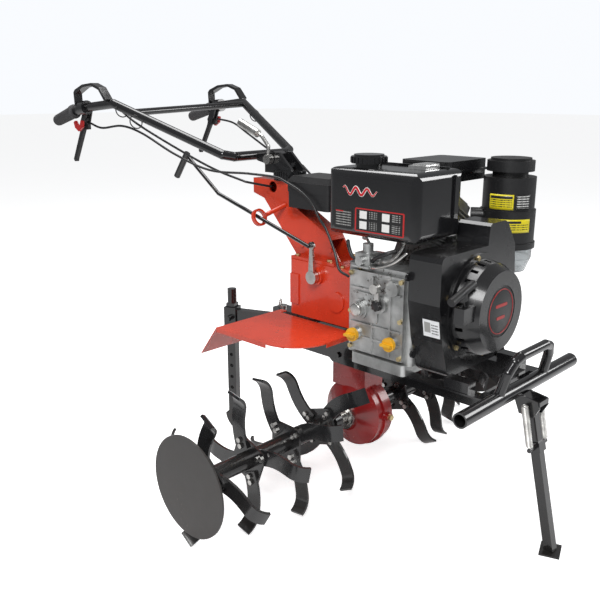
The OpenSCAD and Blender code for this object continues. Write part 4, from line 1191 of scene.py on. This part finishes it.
def place_camera(context, stage):
    """Puts the camera where the whole machine fills the picture, looking along its azimuth and elevation."""
    camera = bpy.data.cameras.new("camera")
    camera.lens = stage.lens
    camera.sensor_width = 36.0
    holder = bpy.data.objects.new("camera", camera)
    context.scene.collection.objects.link(holder)
    back = Vector((
        math.sin(stage.azimuth) * math.cos(stage.elevation),
        -math.cos(stage.azimuth) * math.cos(stage.elevation),
        math.sin(stage.elevation),
    ))
    holder.location = at(-1428, -1166, 982)
    holder.rotation_mode = "QUATERNION"
    holder.rotation_quaternion = (-back).to_track_quat("-Z", "Y")
    context.scene.camera = holder


def floor_finish():
    """Pale even floor with a faint glow where it is seen, so that it runs into the sky without a line."""
    material = finish("floor", colours().floor, rough=0.7, drift=0.01, drift_scale=1.5, grain=80, bump=0.01)
    tree = material.node_tree
    shader = tree.nodes["Principled BSDF"]
    seen = tree.nodes.new("ShaderNodeLightPath").outputs["Is Camera Ray"]
    glow = mixed(tree, seen, (0.0, 0.0, 0.0, 1.0), (1.0, 1.0, 1.0, 1.0))
    tree.links.new(glow, shader.inputs["Emission Color"])
    shader.inputs["Emission Strength"].default_value = 0.72
    return material


class TILLER_PT_workshop(bpy.types.Panel):
    """Lists the tiller's sizes, colours and pieces in the sidebar"""

    bl_label = "Tiller workshop"
    bl_idname = "TILLER_PT_workshop"
    bl_space_type = "VIEW_3D"
    bl_region_type = "UI"
    bl_category = "Tiller"

    def draw(self, context):
        for group in (context.scene.tiller_colours, context.scene.tiller_sizes, context.scene.tiller_stage):
            box = self.layout.box()
            for name in group.__annotations__:
                box.prop(group, name)
        for operator in OPERATORS:
            self.layout.operator(operator.bl_idname)


GROUPS_OF_PROPERTIES = {
    "tiller_colours": TillerColours,
    "tiller_sizes": TillerSizes,
    "tiller_stage": TillerStage,
}
OPERATORS = (
    TILLER_OT_set_stage,
    TILLER_OT_coat_panels,
    TILLER_OT_coat_frame,
    TILLER_OT_coat_engine,
    TILLER_OT_coat_fittings,
    TILLER_OT_add_springs,
    TILLER_OT_add_cables,
    TILLER_OT_add_grips,
    TILLER_OT_add_tank_stickers,
    TILLER_OT_add_engine_labels,
    TILLER_OT_add_starter_face,
    TILLER_OT_add_engine_fittings,
    TILLER_OT_add_cable_clips,
)


def register():
    """Adds the classes, and the properties to the scene."""
    for kind in (*GROUPS_OF_PROPERTIES.values(), *OPERATORS, TILLER_PT_workshop):
        bpy.utils.register_class(kind)
    for name, kind in GROUPS_OF_PROPERTIES.items():
        setattr(bpy.types.Scene, name, bpy.props.PointerProperty(type=kind))


def unregister():
    """Takes the properties and the classes away again."""
    for name in GROUPS_OF_PROPERTIES:
        delattr(bpy.types.Scene, name)
    for kind in (TILLER_PT_workshop, *reversed(OPERATORS), *reversed(GROUPS_OF_PROPERTIES.values())):
        bpy.utils.unregister_class(kind)


def main():
    """Registers the add-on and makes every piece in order."""
    register()
    for operator in OPERATORS:
        group, name = operator.bl_idname.split(".")
        getattr(getattr(bpy.ops, group), name)()


if __name__ == "__main__":
    main()
